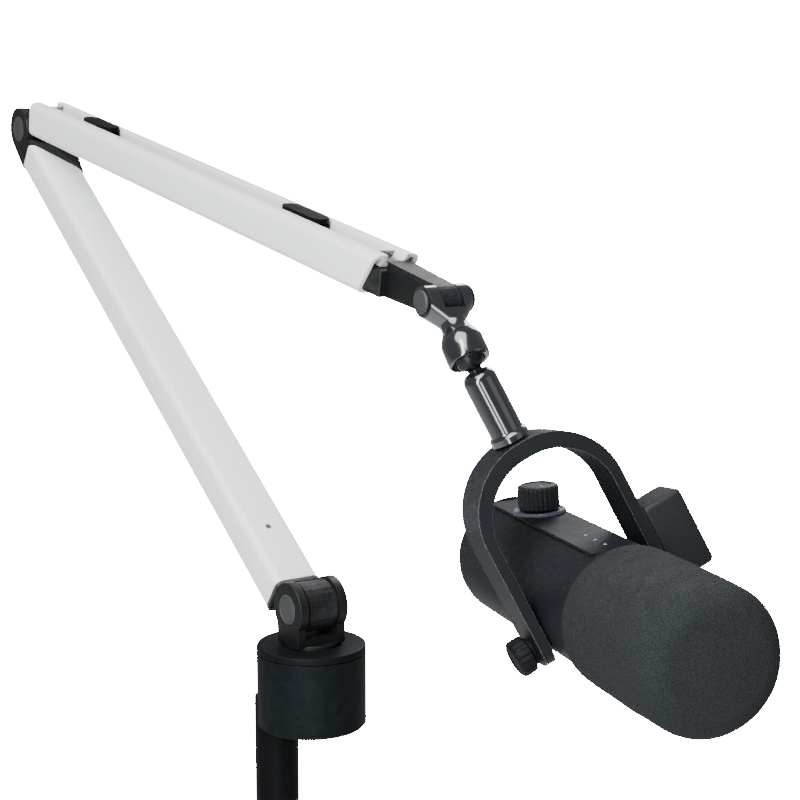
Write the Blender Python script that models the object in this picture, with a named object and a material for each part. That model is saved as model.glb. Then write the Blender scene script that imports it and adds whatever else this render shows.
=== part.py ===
"""Studio microphone on a two-section boom arm.

The foot of the post is at the origin and +Z is up. The arm swings in the X-Z plane and reaches
forward along +X, so the hinge axes of the arm lie along +Y. Every sub-part is modelled in the
frame of the joint that carries it: along an arm section X runs from its lower hinge to its upper
one, and in the tube, the yoke and the microphone Z points back up the tube.
Lengths are in metres and angles in degrees.
"""
from math import cos, pi, radians, sin, sqrt

import bmesh
import bpy
from mathutils import Matrix, Vector

# clearances
gap = 0.0003
boreGap = 0.0005
cutMargin = 0.001

# post and base
postRadius = 0.011
postWall = 0.002
postBelowBase = 0.062
postSocketDepth = 0.0147
baseRadius = 0.0275
baseHeight = 0.0418
baseCoverThickness = 0.0037
baseEdge = 0.0012
swivelOffset = 0.0178
swivelDirection = 56.4
spindleRadius = 0.008
spindleLength = 0.0212

# arm hinges: barrel radius, half length over the cheeks, and height of the shoulder
shoulderRise = 0.0193
shoulderBarrel = 0.0135
shoulderHalf = 0.0138
elbowBarrel = 0.0130
elbowHalf = 0.0133
elbowMitre = 0.0300
elbowClosed = 6
lugHalf = 0.0077
slotHalf = 0.0090
axleRadius = 0.0040
capRadius = 0.0077
capDepth = 0.0020

# arm sections
sectionWidth = 0.0253
sectionDepth = 0.0209
sectionWall = 0.0018
lowerLength = 0.3980
upperLength = 0.4446
lowerRise = 0.0082
upperRise = 0.0090
sectionInset = 0.0163
channelWidth = 0.0100
channelDepth = 0.0045
clipPlaces = (0.0906, 0.3245)
clipLength = 0.0360
screwPlace = 0.0530

# wrist, tube and ball joint
wristRise = 0.0082
wristNeck = 0.0440
wristSlant = 0.0130
wristBarrel = 0.0070
wristHalf = 0.0110
wristLug = 0.0049
wristSlot = 0.0053
wristNeckWidth = 0.0118
wristAxle = 0.0026
wristCap = 0.0053
upperTubeRadius = 0.00615
collarRadius = 0.0095
collarBelow = 0.0028
collarAbove = 0.0100
ballDrop = 0.0292
ballRadius = 0.0068
tubeRadius = 0.0075
tubeBore = 0.0035
pivotDrop = 0.1263

# yoke
yokeHalf = 0.0348
yokeTop = 0.0846
yokeCorner = 0.0330
yokeThickness = 0.0050
yokeArchExtra = 0.0026
boltPocket = 0.0036
yokeWidth = 0.0240
yokeFoot = 0.0075
knobRadius = 0.0086
knobLength = 0.0092
blockDepth = 0.0220
blockLow = -0.0055
blockHigh = 0.0315
blockOuter = 0.0551
socketRadius = 0.0082

# microphone
bodyLift = 0.0060
bodyRadius = 0.0288
bodyFront = 0.0350
bodyRear = 0.0880
bodyTail = 0.1010
bodyWall = 0.0020
flatHeight = 0.0260
panelRoll = -22
foamRadius = 0.0315
foamStart = 0.0355
foamLength = 0.0805
foamEdge = 0.0110
foamWall = 0.0080
grilleRadius = 0.0226
levelKnobPlace = -0.0560
levelKnobRadius = 0.0097

# rest angles of the joints
shoulderAngle = -144.9
elbowAngle = 154.26
wristAngle = -49.16
collarTurn = -45.8
ballTilt = 32.3
yokeTurn = 21.6
microphoneTilt = 7


def clearScene():
    for old in list(bpy.data.objects):
        bpy.data.objects.remove(old, do_unlink=True)


def makeMaterial(name, colour, roughness, metallic=0.0):
    material = bpy.data.materials.new(name)
    material.use_nodes = True
    shader = material.node_tree.nodes["Principled BSDF"]
    shader.inputs["Base Color"].default_value = (*colour, 1.0)
    shader.inputs["Roughness"].default_value = roughness
    shader.inputs["Metallic"].default_value = metallic
    return material


def jointFrame(name, parent=None, place=(0, 0, 0), turns=()):
    """An empty at a joint. Each turn is an angle in degrees and the axis it is about."""
    empty = bpy.data.objects.new(name, None)
    empty.empty_display_size = 0.02
    bpy.context.collection.objects.link(empty)
    matrix = Matrix.Translation(place)
    for angle, axis in turns:
        matrix = matrix @ Matrix.Rotation(radians(angle), 4, axis)
    empty.parent = parent
    empty.matrix_local = matrix
    return empty


def addPart(name, frame, bm, material, sharp=35):
    bmesh.ops.recalc_face_normals(bm, faces=bm.faces)
    mesh = bpy.data.meshes.new(name)
    bm.to_mesh(mesh)
    bm.free()
    mesh.shade_smooth()
    mesh.set_sharp_from_angle(angle=radians(sharp))
    part = bpy.data.objects.new(name, mesh)
    bpy.context.collection.objects.link(part)
    part.parent = frame
    if material:
        mesh.materials.append(material)
    return part


def combine(part, helpers, operation):
    """Boolean each helper shape into a part and keep it as a wire guide."""
    for index, bm in enumerate(helpers):
        guide = addPart(f"{part.name}_{operation.lower()}_{index}", part.parent, bm, None)
        guide.hide_render = True
        guide.display_type = "WIRE"
        boolean = part.modifiers.new(f"{operation} {index}", "BOOLEAN")
        boolean.operation = operation
        boolean.object = guide


def cut(part, *cutters):
    combine(part, cutters, "DIFFERENCE")


def join(part, *additions):
    combine(part, additions, "UNION")


def moved(bm, place=(0, 0, 0), axis="Z"):
    """Turn a shape made along Z onto another axis, then move it."""
    turn = {"Z": Matrix.Identity(4), "X": Matrix.Rotation(pi / 2, 4, "Y"),
            "Y": Matrix.Rotation(-pi / 2, 4, "X")}[axis]
    bmesh.ops.transform(bm, matrix=Matrix.Translation(place) @ turn, verts=bm.verts)
    return bm


def arc(centre, radius, start, end, steps):
    """Points on an arc in a plane, angles in degrees from the plane's first axis."""
    points = []
    for step in range(steps + 1):
        angle = radians(start + (end - start) * step / steps)
        points.append((centre[0] + radius * cos(angle), centre[1] + radius * sin(angle)))
    return points


def turned(outline, place=(0, 0, 0), axis="Z", steps=24):
    """A turned shape from points (radius, height). It closes on itself unless it starts on the axis."""
    bm = bmesh.new()
    verts = [bm.verts.new((radius, 0, height)) for radius, height in outline]
    for first, second in zip(verts, verts[1:]):
        bm.edges.new((first, second))
    if outline[0][0] > 0:
        bm.edges.new((verts[-1], verts[0]))
    geometry = list(bm.verts) + list(bm.edges)
    bmesh.ops.spin(bm, geom=geometry, cent=(0, 0, 0), axis=(0, 0, 1), angle=2 * pi, steps=steps,
                   use_merge=True, use_duplicate=False)
    bmesh.ops.remove_doubles(bm, verts=bm.verts, dist=1e-6)
    return moved(bm, place, axis)


def rod(radius, low, high, place=(0, 0, 0), axis="Z", steps=16):
    return turned([(0, low), (radius, low), (radius, high), (0, high)], place, axis, steps)


def ring(outer, inner, low, high, place=(0, 0, 0), axis="Z", steps=24):
    return turned([(outer, low), (outer, high), (inner, high), (inner, low)], place, axis, steps)


def extruded(outline, low, high, plane="YZ"):
    """A flat outline extruded along the axis that its plane leaves out."""
    across = {"YZ": lambda a, b, c: (c, a, b), "XZ": lambda a, b, c: (a, c, b),
              "XY": lambda a, b, c: (a, b, c)}[plane]
    bm = bmesh.new()
    face = bm.faces.new([bm.verts.new(across(a, b, low)) for a, b in outline])
    grown = bmesh.ops.extrude_face_region(bm, geom=[face])
    new = [item for item in grown["geom"] if isinstance(item, bmesh.types.BMVert)]
    bmesh.ops.translate(bm, verts=new, vec=across(0, 0, high - low))
    return bm


def box(low, high, bevel=0.0, segments=2):
    low = Vector(low)
    high = Vector(high)
    bm = bmesh.new()
    bmesh.ops.create_cube(bm, size=1)
    bmesh.ops.scale(bm, vec=high - low, verts=bm.verts)
    bmesh.ops.translate(bm, vec=(low + high) / 2, verts=bm.verts)
    if bevel:
        bmesh.ops.bevel(bm, geom=bm.edges, offset=bevel, affect="EDGES", segments=segments,
                        profile=0.5, material=-1)
    return bm


def roundedOutline(width, height, centre, radius, steps=4):
    """A rectangle with round corners, as points."""
    points = []
    for corner in range(4):
        side = 1 if corner in (0, 3) else -1
        level = 1 if corner < 2 else -1
        middle = (centre[0] + side * (width / 2 - radius), centre[1] + level * (height / 2 - radius))
        points += arc(middle, radius, corner * 90, corner * 90 + 90, steps)
    return points


def wrapped(points):
    """The convex solid around some points."""
    bm = bmesh.new()
    for point in points:
        bm.verts.new(point)
    hull = bmesh.ops.convex_hull(bm, input=bm.verts)
    bmesh.ops.delete(bm, geom=hull["geom_interior"], context="VERTS")
    bmesh.ops.dissolve_limit(bm, angle_limit=radians(0.5), verts=bm.verts, edges=bm.edges)
    return bm


def barrelPoints(radius, half, place=(0, 0), steps=24):
    """Points of a hinge barrel along Y, centred on a place in X-Z."""
    points = []
    for x, z in arc(place, radius, 0, 360 - 360 / steps, steps - 1):
        points += [(x, -half, z), (x, half, z)]
    return points


def sectionPoints(x, width, low, high):
    return [(x, side * width / 2, z) for side in (-1, 1) for z in (low, high)]


def spring(name, frame, start, end, centreRise, coilRadius, wireRadius, turns, material):
    """A coil spring along X as a bevelled poly curve."""
    perTurn = 6
    curve = bpy.data.curves.new(name, "CURVE")
    curve.dimensions = "3D"
    curve.bevel_depth = wireRadius
    curve.bevel_resolution = 0
    curve.use_fill_caps = True
    count = turns * perTurn + 1
    line = curve.splines.new("POLY")
    line.points.add(count - 1)
    for step in range(count):
        angle = 2 * pi * step / perTurn
        x = start + (end - start) * step / (count - 1)
        line.points[step].co = (x, coilRadius * cos(angle), centreRise + coilRadius * sin(angle), 1)
    curve.materials.append(material)
    part = bpy.data.objects.new(name, curve)
    bpy.context.collection.objects.link(part)
    part.parent = frame
    return part


def hingeHardware(prefix, frame, half, place, materials):
    """Axle, two face caps and two friction washers of a hinge along Y."""
    x, z = place
    pocket = half - capDepth
    addPart(f"{prefix}_axle", frame, rod(axleRadius, -pocket + gap, pocket - gap, (x, 0, z), "Y"),
            materials["steel"])
    for side, word in ((-1, "left"), (1, "right")):
        disc = [(0, pocket + gap), (capRadius, pocket + gap), (capRadius, half),
                (capRadius - 0.0006, half + 0.0005), (0, half + 0.0005)]
        disc = [(radius, side * height) for radius, height in disc]
        addPart(f"{prefix}_cap_{word}", frame, turned(disc, (x, 0, z), "Y", 20), materials["grey"])
        low = lugHalf + gap
        washer = ring(0.0118, axleRadius + boreGap, side * low, side * (slotHalf - gap), (x, 0, z), "Y", 16)
        addPart(f"{prefix}_washer_{word}", frame, washer, materials["nylon"])


def cheekCutters(half, place):
    """Axle bore and the two cap pockets of a fork along Y."""
    x, z = place
    pocket = half - capDepth
    reach = half + cutMargin
    bore = rod(axleRadius + boreGap, -reach, reach, (x, 0, z), "Y")
    pockets = [rod(capRadius + gap, side * pocket, side * reach, (x, 0, z), "Y", 20) for side in (-1, 1)]
    return [bore] + pockets


def makeBase(frame, materials):
    """Post, cast base and the sleeve that the arm's spindle turns in."""
    centre = (swivelOffset * cos(radians(swivelDirection)), swivelOffset * sin(radians(swivelDirection)), 0)
    bottom = postBelowBase
    top = bottom + baseHeight
    seat = top - baseCoverThickness
    footHeight = 0.002
    postTop = bottom + postSocketDepth - gap
    addPart("post", frame, ring(postRadius, postRadius - postWall, footHeight + gap, postTop),
            materials["black_paint"])
    spigot = postRadius - postWall - gap
    foot = [(0, 0), (postRadius - 0.0005, 0), (postRadius, 0.0005), (postRadius, footHeight),
            (spigot, footHeight), (spigot, 0.012), (0, 0.012)]
    addPart("post_foot", frame, turned(foot, steps=16), materials["black_plastic"])

    housing = [(0, bottom), (baseRadius - baseEdge, bottom), (baseRadius, bottom + baseEdge),
               (baseRadius, seat - gap), (0, seat - gap)]
    base = addPart("base_housing", frame, turned(housing, centre, steps=32), materials["base_paint"])
    bearingRadius = 0.0130
    bearingDepth = 0.0200
    socket = rod(postRadius + gap, bottom - cutMargin, bottom + postSocketDepth, steps=24)
    well = rod(bearingRadius + gap, seat - bearingDepth, seat + cutMargin, centre, steps=24)
    screwLevel = bottom + 0.007
    across = Matrix.Rotation(radians(swivelDirection), 4, "Z")
    tunnel = rod(0.0026, postRadius - cutMargin, 0.026, axis="Y", steps=16)
    bmesh.ops.transform(tunnel, matrix=Matrix.Translation((0, 0, screwLevel)) @ across, verts=tunnel.verts)
    cut(base, socket, well, tunnel)
    screw = rod(0.0022, postRadius + gap, 0.0180, axis="Y", steps=16)
    bmesh.ops.transform(screw, matrix=Matrix.Translation((0, 0, screwLevel)) @ across, verts=screw.verts)
    addPart("post_set_screw", frame, screw, materials["steel"])

    cover = [(baseRadius, seat), (baseRadius, top - baseEdge), (baseRadius - baseEdge, top),
             (0.0144, top), (0.0144, seat)]
    addPart("base_cover", frame, turned(cover, centre, steps=32), materials["base_paint"])
    sleeve = ring(bearingRadius, spindleRadius + boreGap, seat - bearingDepth + gap, seat - gap, centre, steps=16)
    addPart("swivel_sleeve", frame, sleeve, materials["brass"])
    return (centre[0], centre[1], top)


def makeTurret(frame, materials):
    """Fork that turns on the base and carries the lower arm."""
    foot = 0.0006
    neckBottom = -baseCoverThickness + gap
    outline = [(-0.010, foot), (0.010, foot)] + arc((0, shoulderRise), shoulderBarrel, -40, 220, 20)
    fork = addPart("turret_fork", frame, extruded(outline, -shoulderHalf, shoulderHalf, "XZ"),
                   materials["black_plastic"])
    neck = rod(0.0138, neckBottom, foot + 0.0012, steps=24)
    slotFloor = shoulderRise - shoulderBarrel - 0.0006
    slot = box((-0.02, -slotHalf, slotFloor), (0.02, slotHalf, 0.04))
    spigot = rod(0.0043, neckBottom - cutMargin, 0.0035, steps=16)
    join(fork, neck)
    cut(fork, slot, spigot, *cheekCutters(shoulderHalf, (0, shoulderRise)))
    spindle = [(0, -spindleLength), (spindleRadius, -spindleLength), (spindleRadius, neckBottom - gap),
               (0.0040, neckBottom - gap), (0.0040, 0.0032), (0, 0.0032)]
    addPart("swivel_spindle", frame, turned(spindle, steps=16), materials["steel"])
    hingeHardware("shoulder", frame, shoulderHalf, (0, shoulderRise), materials)


def hingeBlock(name, frame, low, high, material):
    """Lug on a hinge axis with a web and a plug that fits inside an arm section's hollow."""
    web = [(sectionInset, side * lugHalf, z) for side in (-1, 1) for z in ((low * 3 + high) / 4, high)]
    lug = addPart(name, frame, wrapped(barrelPoints(elbowBarrel - gap, lugHalf) + web), material)
    plugHalf = sectionWidth / 2 - sectionWall - gap
    plug = box((sectionInset - 0.0010, -plugHalf, low), (0.0320, plugHalf, high), 0.001, 1)
    join(lug, plug)
    cut(lug, rod(axleRadius + boreGap, -0.02, 0.02, axis="Y"))


def makeLowerArm(frame, materials):
    """Lower section from the shoulder to the elbow, with its fork at the elbow."""
    middle = (0, lowerRise)
    hollowHalf = sectionDepth / 2 - sectionWall - gap
    hingeBlock("lower_hinge_block", frame, lowerRise - hollowHalf, lowerRise + hollowHalf,
               materials["black_plastic"])
    start = sectionInset + 0.0006
    end = lowerLength - sectionInset
    outer = roundedOutline(sectionWidth, sectionDepth, middle, 0.0030)
    inner = roundedOutline(sectionWidth - 2 * sectionWall, sectionDepth - 2 * sectionWall, middle, 0.0014, 2)
    profile = addPart("lower_profile", frame, extruded(outer, start, end), materials["white_paint"])
    face = lowerRise - sectionDepth / 2
    mitre = extruded([(end, -sectionWidth / 2), (end + 0.01, -0.03), (end + 0.01, 0.03),
                      (end - elbowMitre, sectionWidth / 2 + gap), (end - elbowMitre, 0.03),
                      (end - elbowMitre - 0.001, sectionWidth / 2)], -0.03, 0.04, "XY")
    cut(profile, extruded(inner, start - cutMargin, end + cutMargin), mitre,
        rod(0.0017, face - cutMargin, face + sectionWall + cutMargin, (screwPlace, 0, 0), steps=16))

    rim = addPart("lower_end_rim", frame, extruded(outer, start - 0.0021, start - gap), materials["grey"])
    hollow = roundedOutline(sectionWidth - 2 * sectionWall + gap, sectionDepth - 2 * sectionWall + gap,
                            middle, 0.0006, 1)
    cut(rim, extruded(hollow, start - 0.004, start + cutMargin))

    plugHalf = sectionWidth / 2 - sectionWall - gap
    anchor = addPart("spring_anchor", frame,
                     box((screwPlace - 0.006, -plugHalf, lowerRise - hollowHalf),
                         (screwPlace + 0.006, plugHalf, lowerRise + hollowHalf), 0.001, 1),
                     materials["black_plastic"])
    cut(anchor, rod(0.0015, face, face + 0.012, (screwPlace, 0, 0), steps=16))
    screw = [(0, 0.0002), (0.0014, 0.0002), (0.0014, 0.0015), (0.0011, 0.0020), (0.0011, 0.0090), (0, 0.0090)]
    addPart("lower_arm_screw", frame, turned(screw, (screwPlace, 0, face), steps=16), materials["steel"])

    springStart = screwPlace + 0.0075
    springEnd = 0.2100
    spring("lower_spring", frame, springStart, springEnd, lowerRise, 0.0058, 0.0009, 9, materials["steel"])
    stop = [(0, springStart - 0.0010), (0.0018, springStart - 0.0010), (0.0018, springEnd + 0.0016),
            (0.0074, springEnd + 0.0016), (0.0074, springEnd + 0.0036), (0, springEnd + 0.0036)]
    addPart("lower_spring_rod", frame, turned(stop, (0, 0, lowerRise), "X", 20), materials["steel"])

    low = lowerRise - sectionDepth / 2 + 0.0006
    high = lowerRise + sectionDepth / 2 - 0.0006
    edge = sectionWidth / 2 - 0.0005
    corners = [(end - inset + gap, side * edge, z) for side, inset in ((-1, 0), (1, elbowMitre)) for z in (low, high)]
    elbow = addPart("lower_elbow_block", frame,
                    wrapped(barrelPoints(elbowBarrel, elbowHalf, (lowerLength, 0), 28) + corners),
                    materials["black_plastic"])
    plug = box((end - elbowMitre - 0.016, -plugHalf, lowerRise - hollowHalf),
               (end + 0.002, plugHalf, lowerRise + hollowHalf), 0.001, 1)
    slot = box((lowerLength - elbowBarrel - 0.0020, -slotHalf, -0.04), (lowerLength + 0.04, slotHalf, 0.04))
    fold = radians(360 - elbowAngle - 180 - elbowClosed)
    far = -0.0600
    clear = sectionDepth / 2 - upperRise + 0.0006
    room = [(lowerLength + far, far * sin(fold) / cos(fold) + clear / cos(fold))]
    room += arc((lowerLength, 0), elbowBarrel + 2 * gap, 190, 255, 6)
    room += [(lowerLength - 0.0035, -0.06), (lowerLength + far, -0.06)]
    join(elbow, plug)
    cut(elbow, slot, extruded(room, -0.03, 0.03, "XZ"), *cheekCutters(elbowHalf, (lowerLength, 0)))
    hingeHardware("elbow", frame, elbowHalf, (lowerLength, 0), materials)


def makeUpperArm(frame, materials):
    """Upper section with its cable channel, and the fork at the wrist."""
    middle = (0, upperRise)
    start = sectionInset - 0.0014
    end = upperLength - wristNeck + wristSlant / 2
    top = upperRise + sectionDepth / 2
    bottom = upperRise - sectionDepth / 2
    floor = top - channelDepth
    hingeBlock("upper_hinge_block", frame, bottom + sectionWall + gap, floor - sectionWall - gap,
               materials["black_plastic"])
    outer = roundedOutline(sectionWidth, sectionDepth, middle, 0.0030)
    profile = addPart("upper_profile", frame, extruded(outer, start, end), materials["white_paint"])
    halfInner = sectionWidth / 2 - sectionWall
    cavity = box((start - cutMargin, -halfInner, bottom + sectionWall),
                 (end + cutMargin, halfInner, floor - sectionWall))
    channel = box((start - cutMargin, -channelWidth / 2, floor), (end + cutMargin, channelWidth / 2, top + 0.01))
    slant = extruded([(end - wristSlant, bottom - cutMargin), (end + 0.02, bottom - cutMargin),
                      (end + 0.02, top + cutMargin), (end, top + cutMargin)], -0.03, 0.03, "XZ")
    cut(profile, cavity, channel, slant)
    clipHalf = channelWidth / 2 - gap
    for place, word in zip(clipPlaces, ("rear", "front")):
        outline = arc((place - clipLength / 2 + clipHalf, 0), clipHalf, 90, 270, 8)
        outline += arc((place + clipLength / 2 - clipHalf, 0), clipHalf, -90, 90, 8)
        clip = addPart(f"cable_clip_{word}", frame, extruded(outline, floor + gap, top + 0.0014, "XY"),
                       materials["black_plastic"])
        cut(clip, box((place - clipLength, -0.0026, floor - cutMargin), (place + clipLength, 0.0026, floor + 0.0034)))

    spring("upper_spring", frame, 0.0360, 0.1700, bottom + 0.0080, 0.0046, 0.0008, 9, materials["steel"])
    stop = [(0, 0.0330), (0.0018, 0.0330), (0.0018, 0.1720), (0.0056, 0.1720), (0.0056, 0.1740), (0, 0.1740)]
    addPart("upper_spring_rod", frame, turned(stop, (0, 0, bottom + 0.0080), "X", 20), materials["steel"])

    neckStart = end + 0.0006
    neck = sectionPoints(neckStart, wristNeckWidth, wristRise - 0.0080, wristRise + 0.0085)
    bracket = addPart("wrist_bracket", frame,
                      wrapped(barrelPoints(wristBarrel, wristLug, (upperLength, wristRise), 24) + neck),
                      materials["black_plastic"])
    plugHalf = halfInner - gap
    plug = box((end - 0.045, -plugHalf, bottom + sectionWall + gap),
               (neckStart + 0.002, plugHalf, floor - sectionWall - gap), 0.0005, 1)
    join(bracket, plug)
    cut(bracket, rod(wristAxle + boreGap, -0.02, 0.02, (upperLength, 0, wristRise), "Y", 20))
    addPart("wrist_axle", frame, rod(wristAxle, -wristHalf + gap, wristHalf - gap, (upperLength, 0, wristRise), "Y", 20),
            materials["steel"])
    leftCap = [(0, -wristHalf - gap), (wristCap, -wristHalf - gap), (wristCap, -wristHalf - 0.0011),
               (wristCap - 0.0005, -wristHalf - 0.0015), (0, -wristHalf - 0.0015)]
    addPart("wrist_cap_left", frame, turned(leftCap, (upperLength, 0, wristRise), "Y"), materials["grey"])
    rightCap = [(0, wristHalf + gap), (0.0061, wristHalf + gap), (0.0061, wristHalf + 0.0016),
                (0.0052, wristHalf + 0.0024), (0, wristHalf + 0.0024)]
    addPart("wrist_cap_right", frame, turned(rightCap, (upperLength, 0, wristRise), "Y"),
            materials["black_plastic"])


def makeUpperTube(frame, materials):
    """Short tube that tilts in the wrist and flares out to the collar."""
    collarTop = -ballDrop + collarAbove
    stemTop = -0.0100
    outline = [(0, stemTop), (upperTubeRadius, stemTop), (upperTubeRadius, collarTop + 0.0052)]
    outline += [(0.0068, collarTop + 0.0030), (0.0080, collarTop + 0.0010), (0.0084, collarTop + gap),
                (0.0058, collarTop + gap), (0.0058, collarTop - 0.0024), (0, collarTop - 0.0024)]
    tube = addPart("upper_tube", frame, turned(outline), materials["gloss_tube"])
    shoulder = arc((0, 0), upperTubeRadius - gap, 0, 345, 23)
    fork = wrapped(barrelPoints(wristBarrel, wristHalf, steps=24) + [(x, y, -0.0125) for x, y in shoulder])
    slot = box((-0.02, -wristSlot, -wristBarrel - 0.0006), (0.02, wristSlot, 0.02))
    join(tube, fork)
    cut(tube, slot, rod(wristAxle + boreGap, -0.02, 0.02, axis="Y", steps=16))


def makeCollar(frame, materials):
    """Ring that locks the ball of the stem. The ball's centre is the frame's origin."""
    cup = ballRadius + gap
    mouth = sqrt(cup ** 2 - collarBelow ** 2)
    shelf = 0.0050
    throat = sqrt(cup ** 2 - shelf ** 2)
    wall = [(collarRadius - 0.0008, -collarBelow), (collarRadius, -collarBelow + 0.0010),
            (collarRadius, collarAbove - 0.0024), (0.0084, collarAbove), (0.0061, collarAbove),
            (0.0061, shelf + 0.0022), (throat, shelf + 0.0022), (throat, shelf)]
    for step in range(1, 6):
        height = shelf - (shelf + collarBelow) * step / 6
        wall.append((sqrt(cup ** 2 - height ** 2), height))
    wall.append((mouth, -collarBelow))
    addPart("ball_collar", frame, turned(wall, steps=24), materials["gloss_tube"])


def makeStem(frame, materials):
    """Ball stud and the lower tube that hangs from it, down to the yoke."""
    neck = 0.0032
    start = sqrt(ballRadius ** 2 - neck ** 2)
    stud = [(0, ballRadius)]
    for step in range(1, 9):
        height = ballRadius - (ballRadius + start) * step / 9
        stud.append((sqrt(ballRadius ** 2 - height ** 2), height))
    stud += [(neck, -start), (neck, -0.0180), (0, -0.0180)]
    addPart("ball_stud", frame, turned(stud, steps=16), materials["black_steel"])
    bottom = -pivotDrop + yokeTop + gap
    outline = [(tubeBore, -0.0074), (0.0046, -0.0074), (0.0058, -0.0078), (0.0071, -0.0096),
               (tubeRadius, -0.0112), (tubeRadius, bottom + 0.0050), (0.0088, bottom + 0.0036),
               (0.0088, bottom + 0.0006), (0.0082, bottom), (tubeBore, bottom)]
    addPart("lower_tube", frame, turned(outline, steps=24), materials["gloss_tube"])
    inside = -pivotDrop + yokeTop - yokeThickness - yokeArchExtra
    head = inside + boltPocket - gap
    bolt = [(0, inside + gap), (0.0050, inside + gap), (0.0056, inside + 0.0009), (0.0056, head),
            (0.0032, head), (0.0032, bottom + 0.0150), (0, bottom + 0.0150)]
    addPart("stem_bolt", frame, turned(bolt, steps=16), materials["black_steel"])


def makeYoke(frame, materials):
    """U-shaped yoke, its lock knob and the connector block on its right arm."""
    level = yokeTop - yokeCorner
    corner = yokeHalf - yokeCorner
    inner = yokeCorner - yokeThickness
    outline = [(-yokeHalf, -yokeFoot)] + arc((-corner, level), yokeCorner, 180, 90, 12)
    outline += arc((corner, level), yokeCorner, 90, 0, 12) + [(yokeHalf, -yokeFoot)]
    under = level - yokeArchExtra
    outline += [(yokeHalf - yokeThickness, -yokeFoot)] + arc((corner, under), inner, 0, 90, 12)
    outline += arc((-corner, under), inner, 90, 180, 12) + [(-yokeHalf + yokeThickness, -yokeFoot)]
    band = extruded(outline, -yokeWidth / 2, yokeWidth / 2, "YZ")
    ends = [edge for edge in band.edges
            if all(abs(vert.co.z + yokeFoot) < 1e-6 for vert in edge.verts)
            and abs(edge.verts[0].co.x - edge.verts[1].co.x) < 1e-6]
    bmesh.ops.bevel(band, geom=ends, offset=0.0070, affect="EDGES", segments=4, profile=0.5, material=-1)
    yoke = addPart("yoke", frame, band, materials["yoke_paint"])
    cut(yoke, rod(0.0036, -0.04, 0.04, axis="Y", steps=16),
        rod(0.0042, yokeTop - 0.01, yokeTop + 0.01),
        rod(0.0062, yokeTop - 0.02, yokeTop - yokeThickness - yokeArchExtra + boltPocket, steps=20))

    outside = yokeHalf + gap
    shaft = bodyRadius - 0.0060
    leftScrew = [(0, -shaft), (0.0030, -shaft), (0.0030, -outside - 0.0060), (0, -outside - 0.0060)]
    addPart("pivot_screw_left", frame, turned(leftScrew, axis="Y", steps=16), materials["steel"])
    rightScrew = [(0, shaft), (0.0030, shaft), (0.0030, outside), (0.0044, outside),
                  (0.0044, outside + 0.0026), (0, outside + 0.0026)]
    addPart("pivot_screw_right", frame, turned(rightScrew, axis="Y", steps=16), materials["steel"])

    block = addPart("connector_block", frame,
                    box((-blockDepth / 2, outside, blockLow), (blockDepth / 2, blockOuter, blockHigh), 0.0022, 2),
                    materials["block_plastic"])
    middle = (outside + blockOuter) / 2
    level = (blockLow + blockHigh) / 2 + 0.0030
    socket = rod(socketRadius, -0.02, 0.0040, (0, middle, level), "X", 20)
    pocket = rod(0.0048, outside - cutMargin, outside + 0.0032, axis="Y", steps=16)
    cut(block, socket, pocket)
    back = 0.0040 - gap
    addPart("xlr_insert", frame, rod(socketRadius - gap, back - 0.0030, back, (0, middle, level), "X", 20),
            materials["black_plastic"])


def makeLockKnob(frame, materials):
    """Knob that turns on the left pivot screw."""
    near = -2 * gap
    shell = [(0, near - 0.0072), (0.0034, near - 0.0072), (0.0034, near), (0.0064, near),
             (0.0064, near - 0.0014), (knobRadius, near - 0.0024),
             (knobRadius, near - knobLength + 0.0020), (knobRadius - 0.0024, near - knobLength),
             (0, near - knobLength)]
    addPart("lock_knob", frame, turned(shell, axis="Y", steps=24), materials["rubber"])


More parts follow.
